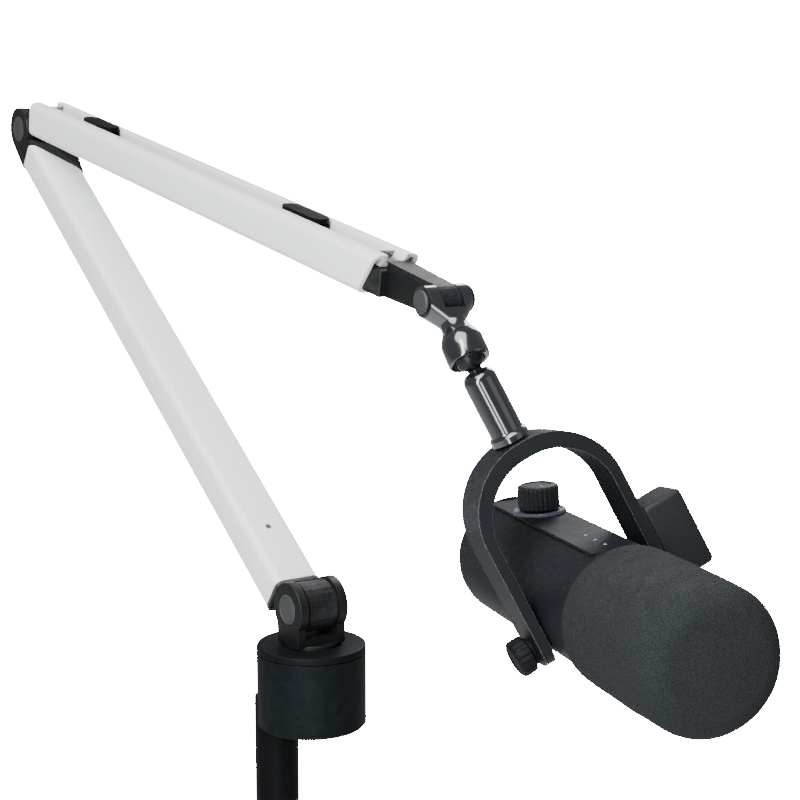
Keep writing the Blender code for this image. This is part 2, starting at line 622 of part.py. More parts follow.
def makeMicrophone(frame, panelFrame, materials):
    """Body, electronics, capsule, grille and windscreen, along X with the front at +X."""
    inner = bodyRadius - bodyWall
    shell = [(bodyRadius, bodyFront), (bodyRadius, -bodyRear)]
    shell += [(bodyRadius - 0.0012, -bodyRear - 0.0052), (bodyRadius - 0.0042, -bodyRear - 0.0096),
              (bodyRadius - 0.0080, -bodyTail), (bodyRadius - 0.0100, -bodyTail),
              (bodyRadius - 0.0062, -bodyRear - 0.0086), (inner - 0.0012, -bodyRear - 0.0046),
              (inner, -bodyRear), (inner, bodyFront)]
    body = addPart("body_shell", frame, turned(shell, axis="X", steps=24), materials["body_paint"])
    panelStart = -bodyRear - 0.0020
    panelEnd = bodyFront - 0.0065
    flat = box((panelStart, -0.02, flatHeight), (panelEnd, 0.02, 0.04))
    bmesh.ops.rotate(flat, cent=(0, 0, 0), matrix=Matrix.Rotation(radians(panelRoll), 3, "X"), verts=flat.verts)
    bores = [rod(0.0034, side * 0.0200, side * 0.0320, (0, 0, -bodyLift), "Y") for side in (-1, 1)]
    cut(body, flat, *bores)
    panelHalf = sqrt(bodyRadius ** 2 - flatHeight ** 2) - 0.0006
    panel = addPart("top_panel", panelFrame,
                    box((panelStart + gap, -panelHalf, flatHeight + gap),
                        (panelEnd - gap, panelHalf, flatHeight + 0.0016)), materials["panel_plastic"])
    cut(panel, rod(0.0030, 0, 0.04, (levelKnobPlace, 0, 0), steps=16))
    panelTop = flatHeight + 0.0016
    addPart("knob_flange", panelFrame,
            turned([(0.0125, panelTop + gap), (0.0125, panelTop + 0.0010), (0.0117, panelTop + 0.0018),
                    (0.0032, panelTop + 0.0018), (0.0032, panelTop + gap)], (levelKnobPlace, 0, 0)),
            materials["grey"])
    tail = bodyRadius - 0.0080
    plug = [(0, -bodyTail - 0.0022), (tail - 0.0020, -bodyTail - 0.0022), (tail, -bodyTail - 0.0010),
            (tail, -bodyTail - gap), (tail - 0.0024, -bodyTail - gap), (tail - 0.0024, -bodyTail + 0.0020),
            (0, -bodyTail + 0.0020)]
    addPart("rear_cap", frame, turned(plug, axis="X", steps=24), materials["body_paint"])

    board = box((-0.0600, -0.0180, -0.0068), (0.0180, 0.0180, -0.0052))
    addPart("circuit_board", frame, board, materials["board"])
    addPart("transformer", frame, box((-0.0200, -0.0100, -0.0200), (0.0020, 0.0100, -0.0071), 0.001, 1),
            materials["steel"])

    foamEnd = foamStart + foamLength
    grilleEnd = foamEnd - foamWall - gap
    mesh = 0.0012
    cage = [(grilleRadius, foamStart - 0.0005 + gap), (grilleRadius, grilleEnd - 0.0060),
            (grilleRadius - 0.0020, grilleEnd - 0.0018), (grilleRadius - 0.0060, grilleEnd), (0, grilleEnd),
            (0, grilleEnd - mesh), (grilleRadius - 0.0064, grilleEnd - mesh),
            (grilleRadius - 0.0031, grilleEnd - 0.0026), (grilleRadius - mesh, grilleEnd - 0.0064),
            (grilleRadius - mesh, foamStart - 0.0005 + gap)]
    addPart("grille", frame, turned(cage[5:] + cage[:5], axis="X", steps=24), materials["grille_steel"])
    mount = [(bodyRadius - 0.0030, bodyFront - 0.0060), (bodyRadius - bodyWall - gap, bodyFront - 0.0060),
             (bodyRadius - bodyWall - gap, bodyFront), (0.0160, bodyFront), (0.0160, bodyFront - 0.0020),
             (bodyRadius - 0.0030, bodyFront - 0.0020)]
    addPart("grille_mount", frame, turned(mount[1:] + mount[:1], axis="X", steps=20),
            materials["black_plastic"])
    rear = foamEnd - 0.0420
    capsule = [(0, rear), (0.0125, rear), (0.0150, rear + 0.0020), (0.0150, rear + 0.0220),
               (0.0130, rear + 0.0230), (0, rear + 0.0230)]
    addPart("capsule", frame, turned(capsule, axis="X", steps=16), materials["steel"])
    addPart("shock_mount", frame, ring(0.0208, 0.0153, rear + 0.0040, rear + 0.0140, axis="X", steps=16), materials["rubber"])

    start = foamStart
    edge = foamEdge
    foam = [(grilleRadius + gap, start), (foamRadius - 0.0020, start), (foamRadius, start + 0.0020)]
    foam += [(radius, height) for height, radius in
             arc((foamEnd - edge, foamRadius - edge), edge, 90, 0, 6)]
    foam += [(0, foamEnd + 0.0012)]
    inside = [(0, grilleEnd + gap), (grilleRadius - 0.0058, grilleEnd + gap),
              (grilleRadius - 0.0018, grilleEnd - 0.0015), (grilleRadius + gap, grilleEnd - 0.0058)]
    addPart("windscreen", frame, turned(inside + foam, axis="X", steps=24), materials["foam"])


def makeLevelKnob(frame, materials):
    """Knob on top of the body, turning about its own axis."""
    shaft = [(0, -0.0270 + 0.0200 + 0.0003), (0.0026, -0.0270 + 0.0200 + 0.0003), (0.0026, 0.0020),
             (levelKnobRadius - 0.0006, 0.0020), (levelKnobRadius, 0.0028), (levelKnobRadius, 0.0118),
             (levelKnobRadius - 0.0012, 0.0134), (0, 0.0134)]
    addPart("level_knob", frame, turned(shaft, steps=24), materials["rubber"])


def main():
    clearScene()
    materials = {
        "black_paint": makeMaterial("black paint", (0.012, 0.012, 0.013), 0.45),
        "base_paint": makeMaterial("base paint", (0.020, 0.021, 0.024), 0.5),
        "black_plastic": makeMaterial("black plastic", (0.014, 0.014, 0.015), 0.42),
        "white_paint": makeMaterial("white paint", (0.78, 0.78, 0.78), 0.4),
        "grey": makeMaterial("grey trim", (0.09, 0.09, 0.095), 0.45),
        "nylon": makeMaterial("nylon", (0.6, 0.6, 0.58), 0.5),
        "steel": makeMaterial("steel", (0.55, 0.55, 0.56), 0.3, 1.0),
        "black_steel": makeMaterial("black steel", (0.03, 0.03, 0.032), 0.35, 1.0),
        "brass": makeMaterial("brass", (0.6, 0.45, 0.2), 0.35, 1.0),
        "gloss_tube": makeMaterial("gloss black", (0.012, 0.013, 0.018), 0.15),
        "yoke_paint": makeMaterial("yoke paint", (0.021, 0.023, 0.028), 0.45),
        "block_plastic": makeMaterial("block plastic", (0.022, 0.024, 0.028), 0.5),
        "body_paint": makeMaterial("body paint", (0.025, 0.027, 0.033), 0.42),
        "panel_plastic": makeMaterial("panel plastic", (0.022, 0.024, 0.029), 0.4),
        "rubber": makeMaterial("knob rubber", (0.015, 0.015, 0.017), 0.6),
        "board": makeMaterial("circuit board", (0.02, 0.12, 0.05), 0.5),
        "grille_steel": makeMaterial("grille steel", (0.1, 0.1, 0.11), 0.4, 1.0),
        "foam": makeMaterial("foam", (0.045, 0.052, 0.060), 0.95),
    }
    base = jointFrame("base_frame")
    swivel = makeBase(base, materials)
    turret = jointFrame("turret_frame", base, swivel)
    makeTurret(turret, materials)
    lower = jointFrame("lower_arm_frame", turret, (0, 0, shoulderRise), [(shoulderAngle, "Y")])
    makeLowerArm(lower, materials)
    upper = jointFrame("upper_arm_frame", lower, (lowerLength, 0, 0), [(elbowAngle, "Y")])
    makeUpperArm(upper, materials)
    wrist = jointFrame("wrist_frame", upper, (upperLength, 0, wristRise), [(wristAngle, "Y")])
    makeUpperTube(wrist, materials)
    collar = jointFrame("collar_frame", wrist, (0, 0, -ballDrop), [(collarTurn, "Z")])
    makeCollar(collar, materials)
    stem = jointFrame("stem_frame", collar, (0, 0, 0), [(ballTilt, "Y")])
    makeStem(stem, materials)
    yoke = jointFrame("yoke_frame", stem, (0, 0, -pivotDrop), [(yokeTurn, "Z")])
    makeYoke(yoke, materials)
    lockKnob = jointFrame("lock_knob_frame", yoke, (0, -yokeHalf, 0))
    makeLockKnob(lockKnob, materials)
    microphone = jointFrame("microphone_frame", yoke, turns=[(microphoneTilt, "Y")])
    shell = jointFrame("shell_frame", microphone, (0, 0, bodyLift))
    panel = jointFrame("panel_frame", shell, turns=[(panelRoll, "X")])
    makeMicrophone(shell, panel, materials)
    levelKnob = jointFrame("level_knob_frame", panel, (levelKnobPlace, 0, flatHeight + 0.0016))
    makeLevelKnob(levelKnob, materials)
    bpy.context.view_layer.update()


main()
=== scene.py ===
from math import cos, pi, radians, sin, sqrt

import bmesh
import bpy
from mathutils import Matrix, Vector, noise


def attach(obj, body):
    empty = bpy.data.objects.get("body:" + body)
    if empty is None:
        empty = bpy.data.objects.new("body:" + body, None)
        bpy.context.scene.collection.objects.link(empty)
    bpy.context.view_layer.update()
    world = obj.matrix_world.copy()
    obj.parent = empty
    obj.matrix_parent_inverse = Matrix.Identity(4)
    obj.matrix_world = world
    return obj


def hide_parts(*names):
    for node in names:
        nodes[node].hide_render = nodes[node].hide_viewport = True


# a studio microphone on a folding boom arm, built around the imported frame
print("loading the frame")
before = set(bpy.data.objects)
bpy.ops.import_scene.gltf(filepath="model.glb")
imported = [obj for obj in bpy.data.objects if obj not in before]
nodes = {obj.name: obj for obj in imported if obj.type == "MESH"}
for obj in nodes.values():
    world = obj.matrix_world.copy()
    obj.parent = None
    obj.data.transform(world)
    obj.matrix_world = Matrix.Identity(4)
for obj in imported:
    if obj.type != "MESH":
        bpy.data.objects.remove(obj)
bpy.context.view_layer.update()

# every piece is shaped in the frame of the joint that carries it
restTurns = {"shoulder": -144.9, "elbow": 154.26, "wrist": -49.16, "collar": -45.8, "ball": 32.3,
             "yoke": 21.6, "microphone": 7, "panel": -22}
swivel = {"offset": 0.0178, "direction": 56.4, "top": 0.1038}
armReach = {"lower": 0.3980, "upper": 0.4446, "shoulderRise": 0.0193, "wristRise": 0.0082}
hangs = {"ball": 0.0292, "pivot": 0.1263, "bodyLift": 0.0060, "panelTop": 0.0276, "levelKnob": -0.0560}


def framed(parent, place=(0, 0, 0), turn=0, axis="Z"):
    return parent @ Matrix.Translation(place) @ Matrix.Rotation(radians(turn), 4, axis)


baseFrame = Matrix.Identity(4)
swivelAngle = radians(swivel["direction"])
swivelCentre = (swivel["offset"] * cos(swivelAngle), swivel["offset"] * sin(swivelAngle), 0)
turretFrame = framed(baseFrame, (swivelCentre[0], swivelCentre[1], swivel["top"]))
lowerFrame = framed(turretFrame, (0, 0, armReach["shoulderRise"]), restTurns["shoulder"], "Y")
upperFrame = framed(lowerFrame, (armReach["lower"], 0, 0), restTurns["elbow"], "Y")
wristFrame = framed(upperFrame, (armReach["upper"], 0, armReach["wristRise"]), restTurns["wrist"], "Y")
collarFrame = framed(wristFrame, (0, 0, -hangs["ball"]), restTurns["collar"], "Z")
stemFrame = framed(collarFrame, turn=restTurns["ball"], axis="Y")
yokeFrame = framed(stemFrame, (0, 0, -hangs["pivot"]), restTurns["yoke"], "Z")
tiltFrame = framed(yokeFrame, turn=restTurns["microphone"], axis="Y")
bodyFrame = framed(tiltFrame, (0, 0, hangs["bodyLift"]))
panelFrame = framed(bodyFrame, turn=restTurns["panel"], axis="X")
levelFrame = framed(panelFrame, (hangs["levelKnob"], 0, hangs["panelTop"]))


# shader groups that several finishes share
print("building the shader groups")


def newGroup(name, inputs, outputs):
    group = bpy.data.node_groups.new(name, "ShaderNodeTree")
    kind = "NodeSocketFloat"
    for label, value in inputs:
        group.interface.new_socket(label, in_out="INPUT", socket_type=kind).default_value = value
    for label in outputs:
        group.interface.new_socket(label, in_out="OUTPUT", socket_type=kind)
    return group, group.nodes.new("NodeGroupInput"), group.nodes.new("NodeGroupOutput")


def mathNode(tree, operation, first, second, clamp=False):
    node = tree.nodes.new("ShaderNodeMath")
    node.operation = operation
    node.use_clamp = clamp
    for index, value in enumerate((first, second)):
        if isinstance(value, (int, float)):
            node.inputs[index].default_value = value
        else:
            tree.links.new(value, node.inputs[index])
    return node.outputs[0]


def rangeNode(tree, value, low, high, outLow=0.0, outHigh=1.0):
    node = tree.nodes.new("ShaderNodeMapRange")
    tree.links.new(value, node.inputs["Value"])
    ends = {"From Min": low, "From Max": high, "To Min": outLow, "To Max": outHigh}
    for label, number in ends.items():
        node.inputs[label].default_value = number
    return node.outputs["Result"]


def noiseNode(tree, vector, scale, detail=3.0, roughness=0.5):
    node = tree.nodes.new("ShaderNodeTexNoise")
    node.inputs["Scale"].default_value = scale
    node.inputs["Detail"].default_value = detail
    node.inputs["Roughness"].default_value = roughness
    tree.links.new(vector, node.inputs["Vector"])
    return node.outputs["Fac"]


def buildGrain():
    group, inside, outside = newGroup("paintGrain", (("Scale", 1200.0),), ("Peel", "Mottle", "Speck"))
    place = group.nodes.new("ShaderNodeTexCoord").outputs["Object"]
    peel = group.nodes.new("ShaderNodeTexNoise")
    peel.inputs["Detail"].default_value = 2.0
    group.links.new(place, peel.inputs["Vector"])
    group.links.new(inside.outputs["Scale"], peel.inputs["Scale"])
    group.links.new(peel.outputs["Fac"], outside.inputs["Peel"])
    group.links.new(noiseNode(group, place, 38.0, 4.0, 0.6), outside.inputs["Mottle"])
    speck = noiseNode(group, place, 620.0, 2.0, 0.7)
    group.links.new(rangeNode(group, speck, 0.62, 0.78), outside.inputs["Speck"])
    return group


def buildWear():
    group, inside, outside = newGroup("edgeWear", (("Amount", 0.5),), ("Mask",))
    place = group.nodes.new("ShaderNodeTexCoord").outputs["Object"]
    edge = rangeNode(group, group.nodes.new("ShaderNodeNewGeometry").outputs["Pointiness"], 0.55, 0.66)
    patchy = rangeNode(group, noiseNode(group, place, 170.0, 5.0, 0.65), 0.42, 0.66)
    mask = mathNode(group, "MULTIPLY", edge, patchy)
    mask = mathNode(group, "MULTIPLY", mask, inside.outputs["Amount"], True)
    group.links.new(mask, outside.inputs["Mask"])
    return group


def buildDust():
    group, inside, outside = newGroup("dustFilm", (("Amount", 0.2),), ("Mask",))
    place = group.nodes.new("ShaderNodeTexCoord").outputs["Object"]
    split = group.nodes.new("ShaderNodeSeparateXYZ")
    group.links.new(group.nodes.new("ShaderNodeNewGeometry").outputs["Normal"], split.inputs[0])
    upward = rangeNode(group, split.outputs["Z"], 0.25, 1.0)
    cloudy = rangeNode(group, noiseNode(group, place, 90.0, 6.0, 0.7), 0.35, 0.75)
    mask = mathNode(group, "MULTIPLY", upward, cloudy)
    mask = mathNode(group, "MULTIPLY", mask, inside.outputs["Amount"], True)
    group.links.new(mask, outside.inputs["Mask"])
    return group


grainGroup = buildGrain()
wearGroup = buildWear()
dustGroup = buildDust()


# finishes, mixed from those groups
print("mixing the finishes")


def placed(tree, group, **values):
    node = tree.nodes.new("ShaderNodeGroup")
    node.node_tree = group
    for label, value in values.items():
        node.inputs[label].default_value = value
    return node


def mixColour(tree, factor, first, second):
    node = tree.nodes.new("ShaderNodeMix")
    node.data_type = "RGBA"
    tree.links.new(factor, node.inputs["Factor"])
    for label, value in (("A", first), ("B", second)):
        socket = next(item for item in node.inputs if item.name == label and item.type == "RGBA")
        if isinstance(value, tuple):
            socket.default_value = (*value, 1.0)
        else:
            tree.links.new(value, socket)
    return next(item for item in node.outputs if item.type == "RGBA")


def bumpNode(tree, height, strength, distance):
    node = tree.nodes.new("ShaderNodeBump")
    node.inputs["Strength"].default_value = strength
    node.inputs["Distance"].default_value = distance
    tree.links.new(height, node.inputs["Height"])
    return node.outputs["Normal"]


dustTones = {"paint": (0.45, 0.45, 0.46), "foam": (0.40, 0.41, 0.42)}


def finish(name, colour, rough, shade=0.85, worn=None, wear=0.5, dust=0.06, grain=1200.0, bump=0.15,
           metal=0.0, coat=0.0, coatRough=0.1, roughSpread=0.06, specular=0.5):
    material = bpy.data.materials.new(name)
    material.use_nodes = True
    tree = material.node_tree
    shader = tree.nodes["Principled BSDF"]
    shader.inputs["Metallic"].default_value = metal
    shader.inputs["Coat Weight"].default_value = coat
    shader.inputs["Coat Roughness"].default_value = coatRough
    shader.inputs["Specular IOR Level"].default_value = specular
    grainNode = placed(tree, grainGroup, Scale=grain)
    dark = tuple(part * shade for part in colour)
    tone = mixColour(tree, grainNode.outputs["Mottle"], dark, colour)
    light = tuple(min(1.0, part * 1.3 + 0.0008) for part in colour)
    tone = mixColour(tree, mathNode(tree, "MULTIPLY", grainNode.outputs["Speck"], 0.35), tone, light)
    rub = placed(tree, wearGroup, Amount=wear)
    rubbed = worn or tuple(min(1.0, part * 1.9 + 0.02) for part in colour)
    tone = mixColour(tree, rub.outputs["Mask"], tone, rubbed)
    film = placed(tree, dustGroup, Amount=dust)
    tone = mixColour(tree, film.outputs["Mask"], tone, dustTones["paint"])
    tree.links.new(tone, shader.inputs["Base Color"])
    uneven = rangeNode(tree, grainNode.outputs["Mottle"], 0.3, 0.7, rough - roughSpread,
                       rough + roughSpread)
    uneven = mathNode(tree, "ADD", uneven, mathNode(tree, "MULTIPLY", film.outputs["Mask"], 0.4), True)
    tree.links.new(uneven, shader.inputs["Roughness"])
    tree.links.new(bumpNode(tree, grainNode.outputs["Peel"], bump, 0.0002), shader.inputs["Normal"])
    return material


def foamFinish(name, look):
    material = bpy.data.materials.new(name)
    material.use_nodes = True
    tree = material.node_tree
    shader = tree.nodes["Principled BSDF"]
    shader.inputs["Specular IOR Level"].default_value = look["specular"]
    shader.inputs["Sheen Weight"].default_value = look["sheen"]
    shader.inputs["Sheen Roughness"].default_value = 0.55
    shader.inputs["Sheen Tint"].default_value = (*look["strand"], 1.0)
    place = tree.nodes.new("ShaderNodeTexCoord").outputs["Object"]
    cell = tree.nodes.new("ShaderNodeTexVoronoi")
    cell.inputs["Scale"].default_value = look["cells"]
    tree.links.new(place, cell.inputs["Vector"])
    pore = rangeNode(tree, cell.outputs["Distance"], 0.12, 0.62)
    ragged = noiseNode(tree, place, look["cells"] * 1.7, 3.0, 0.7)
    pore = mathNode(tree, "MULTIPLY", pore, rangeNode(tree, ragged, 0.3, 0.7, 0.5, 1.2), True)
    tone = mixColour(tree, pore, look["pore"], look["strand"])
    patch = noiseNode(tree, place, 26.0, 4.0, 0.55)
    tone = mixColour(tree, rangeNode(tree, patch, 0.35, 0.65, 0.0, 0.35), tone, look["faded"])
    film = placed(tree, dustGroup, Amount=look["dust"])
    tone = mixColour(tree, film.outputs["Mask"], tone, dustTones["foam"])
    tree.links.new(tone, shader.inputs["Base Color"])
    tree.links.new(rangeNode(tree, pore, 0.0, 1.0, 0.98, 0.86), shader.inputs["Roughness"])
    tree.links.new(bumpNode(tree, pore, look["bump"], 0.0005), shader.inputs["Normal"])
    return material


# shade is how dark the mottling gets, and worn the tone of a rubbed edge
looks = {
    "armWhite": dict(colour=(0.83, 0.83, 0.83), rough=0.38, shade=0.965, worn=(0.62, 0.62, 0.63),
                     wear=0.25, dust=0.04, grain=1500.0, bump=0.1),
    "knuckleBlack": dict(colour=(0.0046, 0.0047, 0.0049), rough=0.5, shade=0.9, worn=(0.05, 0.05, 0.052),
                         wear=0.5, dust=0.01, grain=1700.0, bump=0.22, specular=0.22),
    "baseCharcoal": dict(colour=(0.0034, 0.0045, 0.0054), rough=0.48, shade=0.96,
                         worn=(0.03, 0.034, 0.038), wear=0.5, dust=0.005, grain=1500.0, bump=0.12,
                         specular=0.06, roughSpread=0.03),
    "postBlack": dict(colour=(0.0024, 0.0025, 0.0027), rough=0.5, shade=0.9, worn=(0.03, 0.03, 0.032),
                      wear=0.4, dust=0.005, grain=1500.0, bump=0.1, specular=0.05, roughSpread=0.03),
    "capGrey": dict(colour=(0.0326, 0.0326, 0.0332), rough=0.5, shade=0.9, worn=(0.17, 0.17, 0.17),
                    wear=0.4, dust=0.02, grain=1900.0, bump=0.15, specular=0.3),
    "tubeGloss": dict(colour=(0.004, 0.005, 0.0072), rough=0.15, shade=0.9, worn=(0.06, 0.065, 0.075),
                      wear=0.35, dust=0.005, grain=800.0, bump=0.02, coat=1.0, coatRough=0.07,
                      roughSpread=0.02, specular=0.8),
    "ballSteel": dict(colour=(0.02, 0.021, 0.023), rough=0.3, shade=0.8, worn=(0.2, 0.2, 0.21), wear=0.4,
                      dust=0.0, grain=1500.0, bump=0.04, metal=0.8),
    "yokeCharcoal": dict(colour=(0.0066, 0.0078, 0.0092), rough=0.48, shade=0.96,
                         worn=(0.06, 0.065, 0.07), wear=0.6, dust=0.008, grain=1300.0, bump=0.16,
                         specular=0.2, roughSpread=0.03),
    # the yoke's bevel faces get a lighter tone, a painted highlight along every edge
    "yokePaintedEdgeHighlight": dict(colour=(0.105, 0.112, 0.12), rough=0.3, shade=0.9, worn=(0.24, 0.25, 0.26), wear=0.5,
                     dust=0.0, grain=1300.0, bump=0.06),
    "blockCharcoal": dict(colour=(0.009, 0.0104, 0.0122), rough=0.55, shade=0.9, worn=(0.06, 0.064, 0.07),
                          wear=0.6, dust=0.015, grain=1900.0, bump=0.2, specular=0.25),
    "bodyCharcoal": dict(colour=(0.007, 0.0082, 0.0099), rough=0.5, shade=0.95, worn=(0.06, 0.065, 0.075),
                         wear=0.6, dust=0.008, grain=1600.0, bump=0.18, specular=0.1, roughSpread=0.03),
    "panelCharcoal": dict(colour=(0.0061, 0.0073, 0.0094), rough=0.55, shade=0.95,
                          worn=(0.06, 0.065, 0.08), wear=0.4, dust=0.006, grain=2200.0, bump=0.1,
                          specular=0.14),
    "flangeBlueGrey": dict(colour=(0.05, 0.056, 0.08), rough=0.38, shade=0.9, worn=(0.16, 0.17, 0.2),
                           wear=0.4, dust=0.01, grain=1900.0, bump=0.06),
    "knobRubber": dict(colour=(0.0048, 0.005, 0.0059), rough=0.6, shade=0.8, worn=(0.035, 0.036, 0.04),
                       wear=0.5, dust=0.01, grain=2100.0, bump=0.25, specular=0.08),
    "pointerGrey": dict(colour=(0.3, 0.31, 0.33), rough=0.45, shade=0.95, wear=0.2, dust=0.02),
    "plainSteel": dict(colour=(0.42, 0.42, 0.43), rough=0.28, shade=0.85, worn=(0.6, 0.6, 0.6), wear=0.4,
                       dust=0.02, grain=1800.0, bump=0.08, metal=1.0),
    "pinGold": dict(colour=(0.75, 0.56, 0.22), rough=0.25, shade=0.9, wear=0.3, dust=0.0, grain=1500.0,
                    bump=0.04, metal=1.0),
    "bearingBrass": dict(colour=(0.55, 0.4, 0.17), rough=0.35, shade=0.85, wear=0.3, dust=0.0,
                         grain=1500.0, bump=0.08, metal=1.0),
    # a dark grey for the floor of the cable groove, painted shade
    "groovePaintedShade": dict(colour=(0.16, 0.16, 0.16), rough=0.55, shade=0.9, wear=0.3, dust=0.02,
                       grain=1500.0, bump=0.1, specular=0.2),
    "washerNylon": dict(colour=(0.02, 0.02, 0.021), rough=0.5, shade=0.9, wear=0.3, dust=0.0),
    "boardGreen": dict(colour=(0.015, 0.1, 0.04), rough=0.4, shade=0.8, wear=0.3, dust=0.0, grain=900.0,
                       bump=0.15),
    "meshSteel": dict(colour=(0.06, 0.06, 0.065), rough=0.4, shade=0.8, wear=0.4, dust=0.0, grain=1500.0,
                      bump=0.3, metal=1.0),
}
finishes = {name: finish(name, **look) for name, look in looks.items()}
windscreenLook = {"pore": (0.0070, 0.0079, 0.0086), "strand": (0.0182, 0.0204, 0.0220),
                  "faded": (0.0175, 0.0196, 0.0210), "cells": 2100.0, "bump": 0.45, "sheen": 0.12,
                  "specular": 0.12, "dust": 0.03}
finishes["foamCharcoal"] = foamFinish("foamCharcoal", windscreenLook)


def lathed(outline, steps=96):  # an outline of radius and height, spun round Z
    bm = bmesh.new()
    verts = [bm.verts.new((radius, 0, height)) for radius, height in outline]
    for first, second in zip(verts, verts[1:]):
        bm.edges.new((first, second))
    if outline[0][0] > 0:
        bm.edges.new((verts[-1], verts[0]))
    bmesh.ops.spin(bm, geom=list(bm.verts) + list(bm.edges), cent=(0, 0, 0), axis=(0, 0, 1),
                   angle=2 * pi, steps=steps, use_merge=True, use_duplicate=False)
    bmesh.ops.remove_doubles(bm, verts=bm.verts, dist=1e-6)
    bmesh.ops.recalc_face_normals(bm, faces=bm.faces)
    return bm


def along(bm, axis, place=(0, 0, 0)):  # a shape made along Z is laid along X or Y and moved
    turns = {"X": Matrix.Rotation(pi / 2, 4, "Y"), "Y": Matrix.Rotation(-pi / 2, 4, "X"),
             "Z": Matrix.Identity(4)}
    bmesh.ops.transform(bm, matrix=Matrix.Translation(place) @ turns[axis], verts=bm.verts)
    return bm


def rod(radius, low, high, axis="Z", place=(0, 0, 0), steps=48):
    return along(lathed([(0, low), (radius, low), (radius, high), (0, high)], steps), axis, place)


def curvePoints(centre, radius, start, end, steps):
    angles = [radians(start + (end - start) * step / steps) for step in range(steps + 1)]
    return [(centre[0] + radius * cos(angle), centre[1] + radius * sin(angle)) for angle in angles]


def slab(outline, low, high, plane="XY"):
    across = {"YZ": lambda a, b, c: (c, a, b),
              "XZ": lambda a, b, c: (a, c, b),
              "XY": lambda a, b, c: (a, b, c)}[plane]
    bm = bmesh.new()
    face = bm.faces.new([bm.verts.new(across(a, b, low)) for a, b in outline])
    grown = bmesh.ops.extrude_face_region(bm, geom=[face])["geom"]
    farVerts = [item for item in grown if isinstance(item, bmesh.types.BMVert)]
    bmesh.ops.translate(bm, verts=farVerts, vec=across(0, 0, high - low))
    bmesh.ops.recalc_face_normals(bm, faces=bm.faces)
    return bm


def rounded(bm, edges, width, segments):
    bmesh.ops.bevel(bm, geom=edges, offset=width, affect="EDGES", segments=segments, profile=0.5,
                    material=-1)


def block(low, high, corner=0.0, segments=3):
    bm = bmesh.new()
    bmesh.ops.create_cube(bm, size=1)
    bmesh.ops.scale(bm, vec=Vector(high) - Vector(low), verts=bm.verts)
    bmesh.ops.translate(bm, vec=(Vector(low) + Vector(high)) / 2, verts=bm.verts)
    if corner:
        rounded(bm, bm.edges, corner, segments)
    return bm


def rolled(bm, angle, axis):
    bmesh.ops.rotate(bm, cent=(0, 0, 0), matrix=Matrix.Rotation(radians(angle), 3, axis), verts=bm.verts)
    return bm


def fluted(bm, count, depth, inner):  # shallow grips round a knob made along Z
    for vert in bm.verts:
        spread = sqrt(vert.co.x ** 2 + vert.co.y ** 2)
        if spread > inner:
            wave = 0.5 - 0.5 * cos(count * Vector((1, 0)).angle_signed(vert.co.xy))
            vert.co.xy *= 1 - depth * wave ** 2 / spread
    return bm


def loose(bm):
    mesh = bpy.data.meshes.new("loose")
    bm.to_mesh(mesh)
    bm.free()
    obj = bpy.data.objects.new("loose", mesh)
    bpy.context.collection.objects.link(obj)
    return obj


def carved(bm, cutters=(), additions=()):  # joins and cuts shapes, and gives the result as a new bmesh
    target = loose(bm)
    helpers = []
    for operation, shapes in (("UNION", additions), ("DIFFERENCE", cutters)):
        for shape in shapes:
            helpers.append(loose(shape))
            modifier = target.modifiers.new(operation, "BOOLEAN")
            modifier.operation = operation
            modifier.object = helpers[-1]
    result = bmesh.new()
    result.from_object(target, bpy.context.evaluated_depsgraph_get())
    for obj in [target] + helpers:
        mesh = obj.data
        bpy.data.objects.remove(obj, do_unlink=True)
        bpy.data.meshes.remove(mesh)
    return result


def beveled(obj, width, segments=3, slotIndex=-1, angle=32):
    modifier = obj.modifiers.new("edges", "BEVEL")
    modifier.material = slotIndex
    modifier.width = width
    modifier.segments = segments
    modifier.limit_method = "ANGLE"
    modifier.angle_limit = radians(angle)
    modifier.harden_normals = True
    return obj


def piece(name, bm, place, body, look, stands=(), edge=0.0, segments=3, sharp=32):
    bmesh.ops.transform(bm, matrix=place, verts=bm.verts)
    mesh = bpy.data.meshes.new(name)
    bm.to_mesh(mesh)
    bm.free()
    mesh.shade_smooth()
    mesh.set_sharp_from_angle(angle=radians(sharp))
    mesh.materials.append(finishes[look])
    obj = bpy.data.objects.new(name, mesh)
    bpy.context.collection.objects.link(obj)
    if edge:
        beveled(obj, edge, segments)
    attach(obj, body)
    if stands:
        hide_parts(*stands)
    return obj


# the post and the swivel base it carries
print("turning the post and the base")
post = {"radius": 0.011, "wall": 0.002, "low": 0.0023, "high": 0.0764, "foot": 0.0020, "plug": 0.0087,
        "plugTop": 0.012, "chamfer": 0.0005}
base = {"radius": 0.0275, "bottom": 0.062, "seam": 0.1001, "edge": 0.0011, "hole": 0.0144,
        "socket": 0.0147, "screwHeight": 0.007, "screwHole": 0.0026, "gap": 0.0003, "chamfer": 0.0004,
        "sleeve": 0.0133, "sleeveDepth": 0.02}

postBore = post["radius"] - post["wall"]
postShape = lathed([(post["radius"], post["low"]), (post["radius"], post["high"]),
                    (postBore, post["high"]), (postBore, post["low"])], 80)
piece("supportPost", postShape, baseFrame, "base", "postBlack", ["post"], 0.0004)
footShape = lathed([(0, 0), (post["radius"] - post["chamfer"], 0), (post["radius"], post["chamfer"]),
                    (post["radius"], post["foot"]), (post["plug"], post["foot"]),
                    (post["plug"], post["plugTop"]), (0, post["plugTop"])], 64)
piece("postPlug", footShape, baseFrame, "base", "knuckleBlack", ["post_foot"], 0.0002)

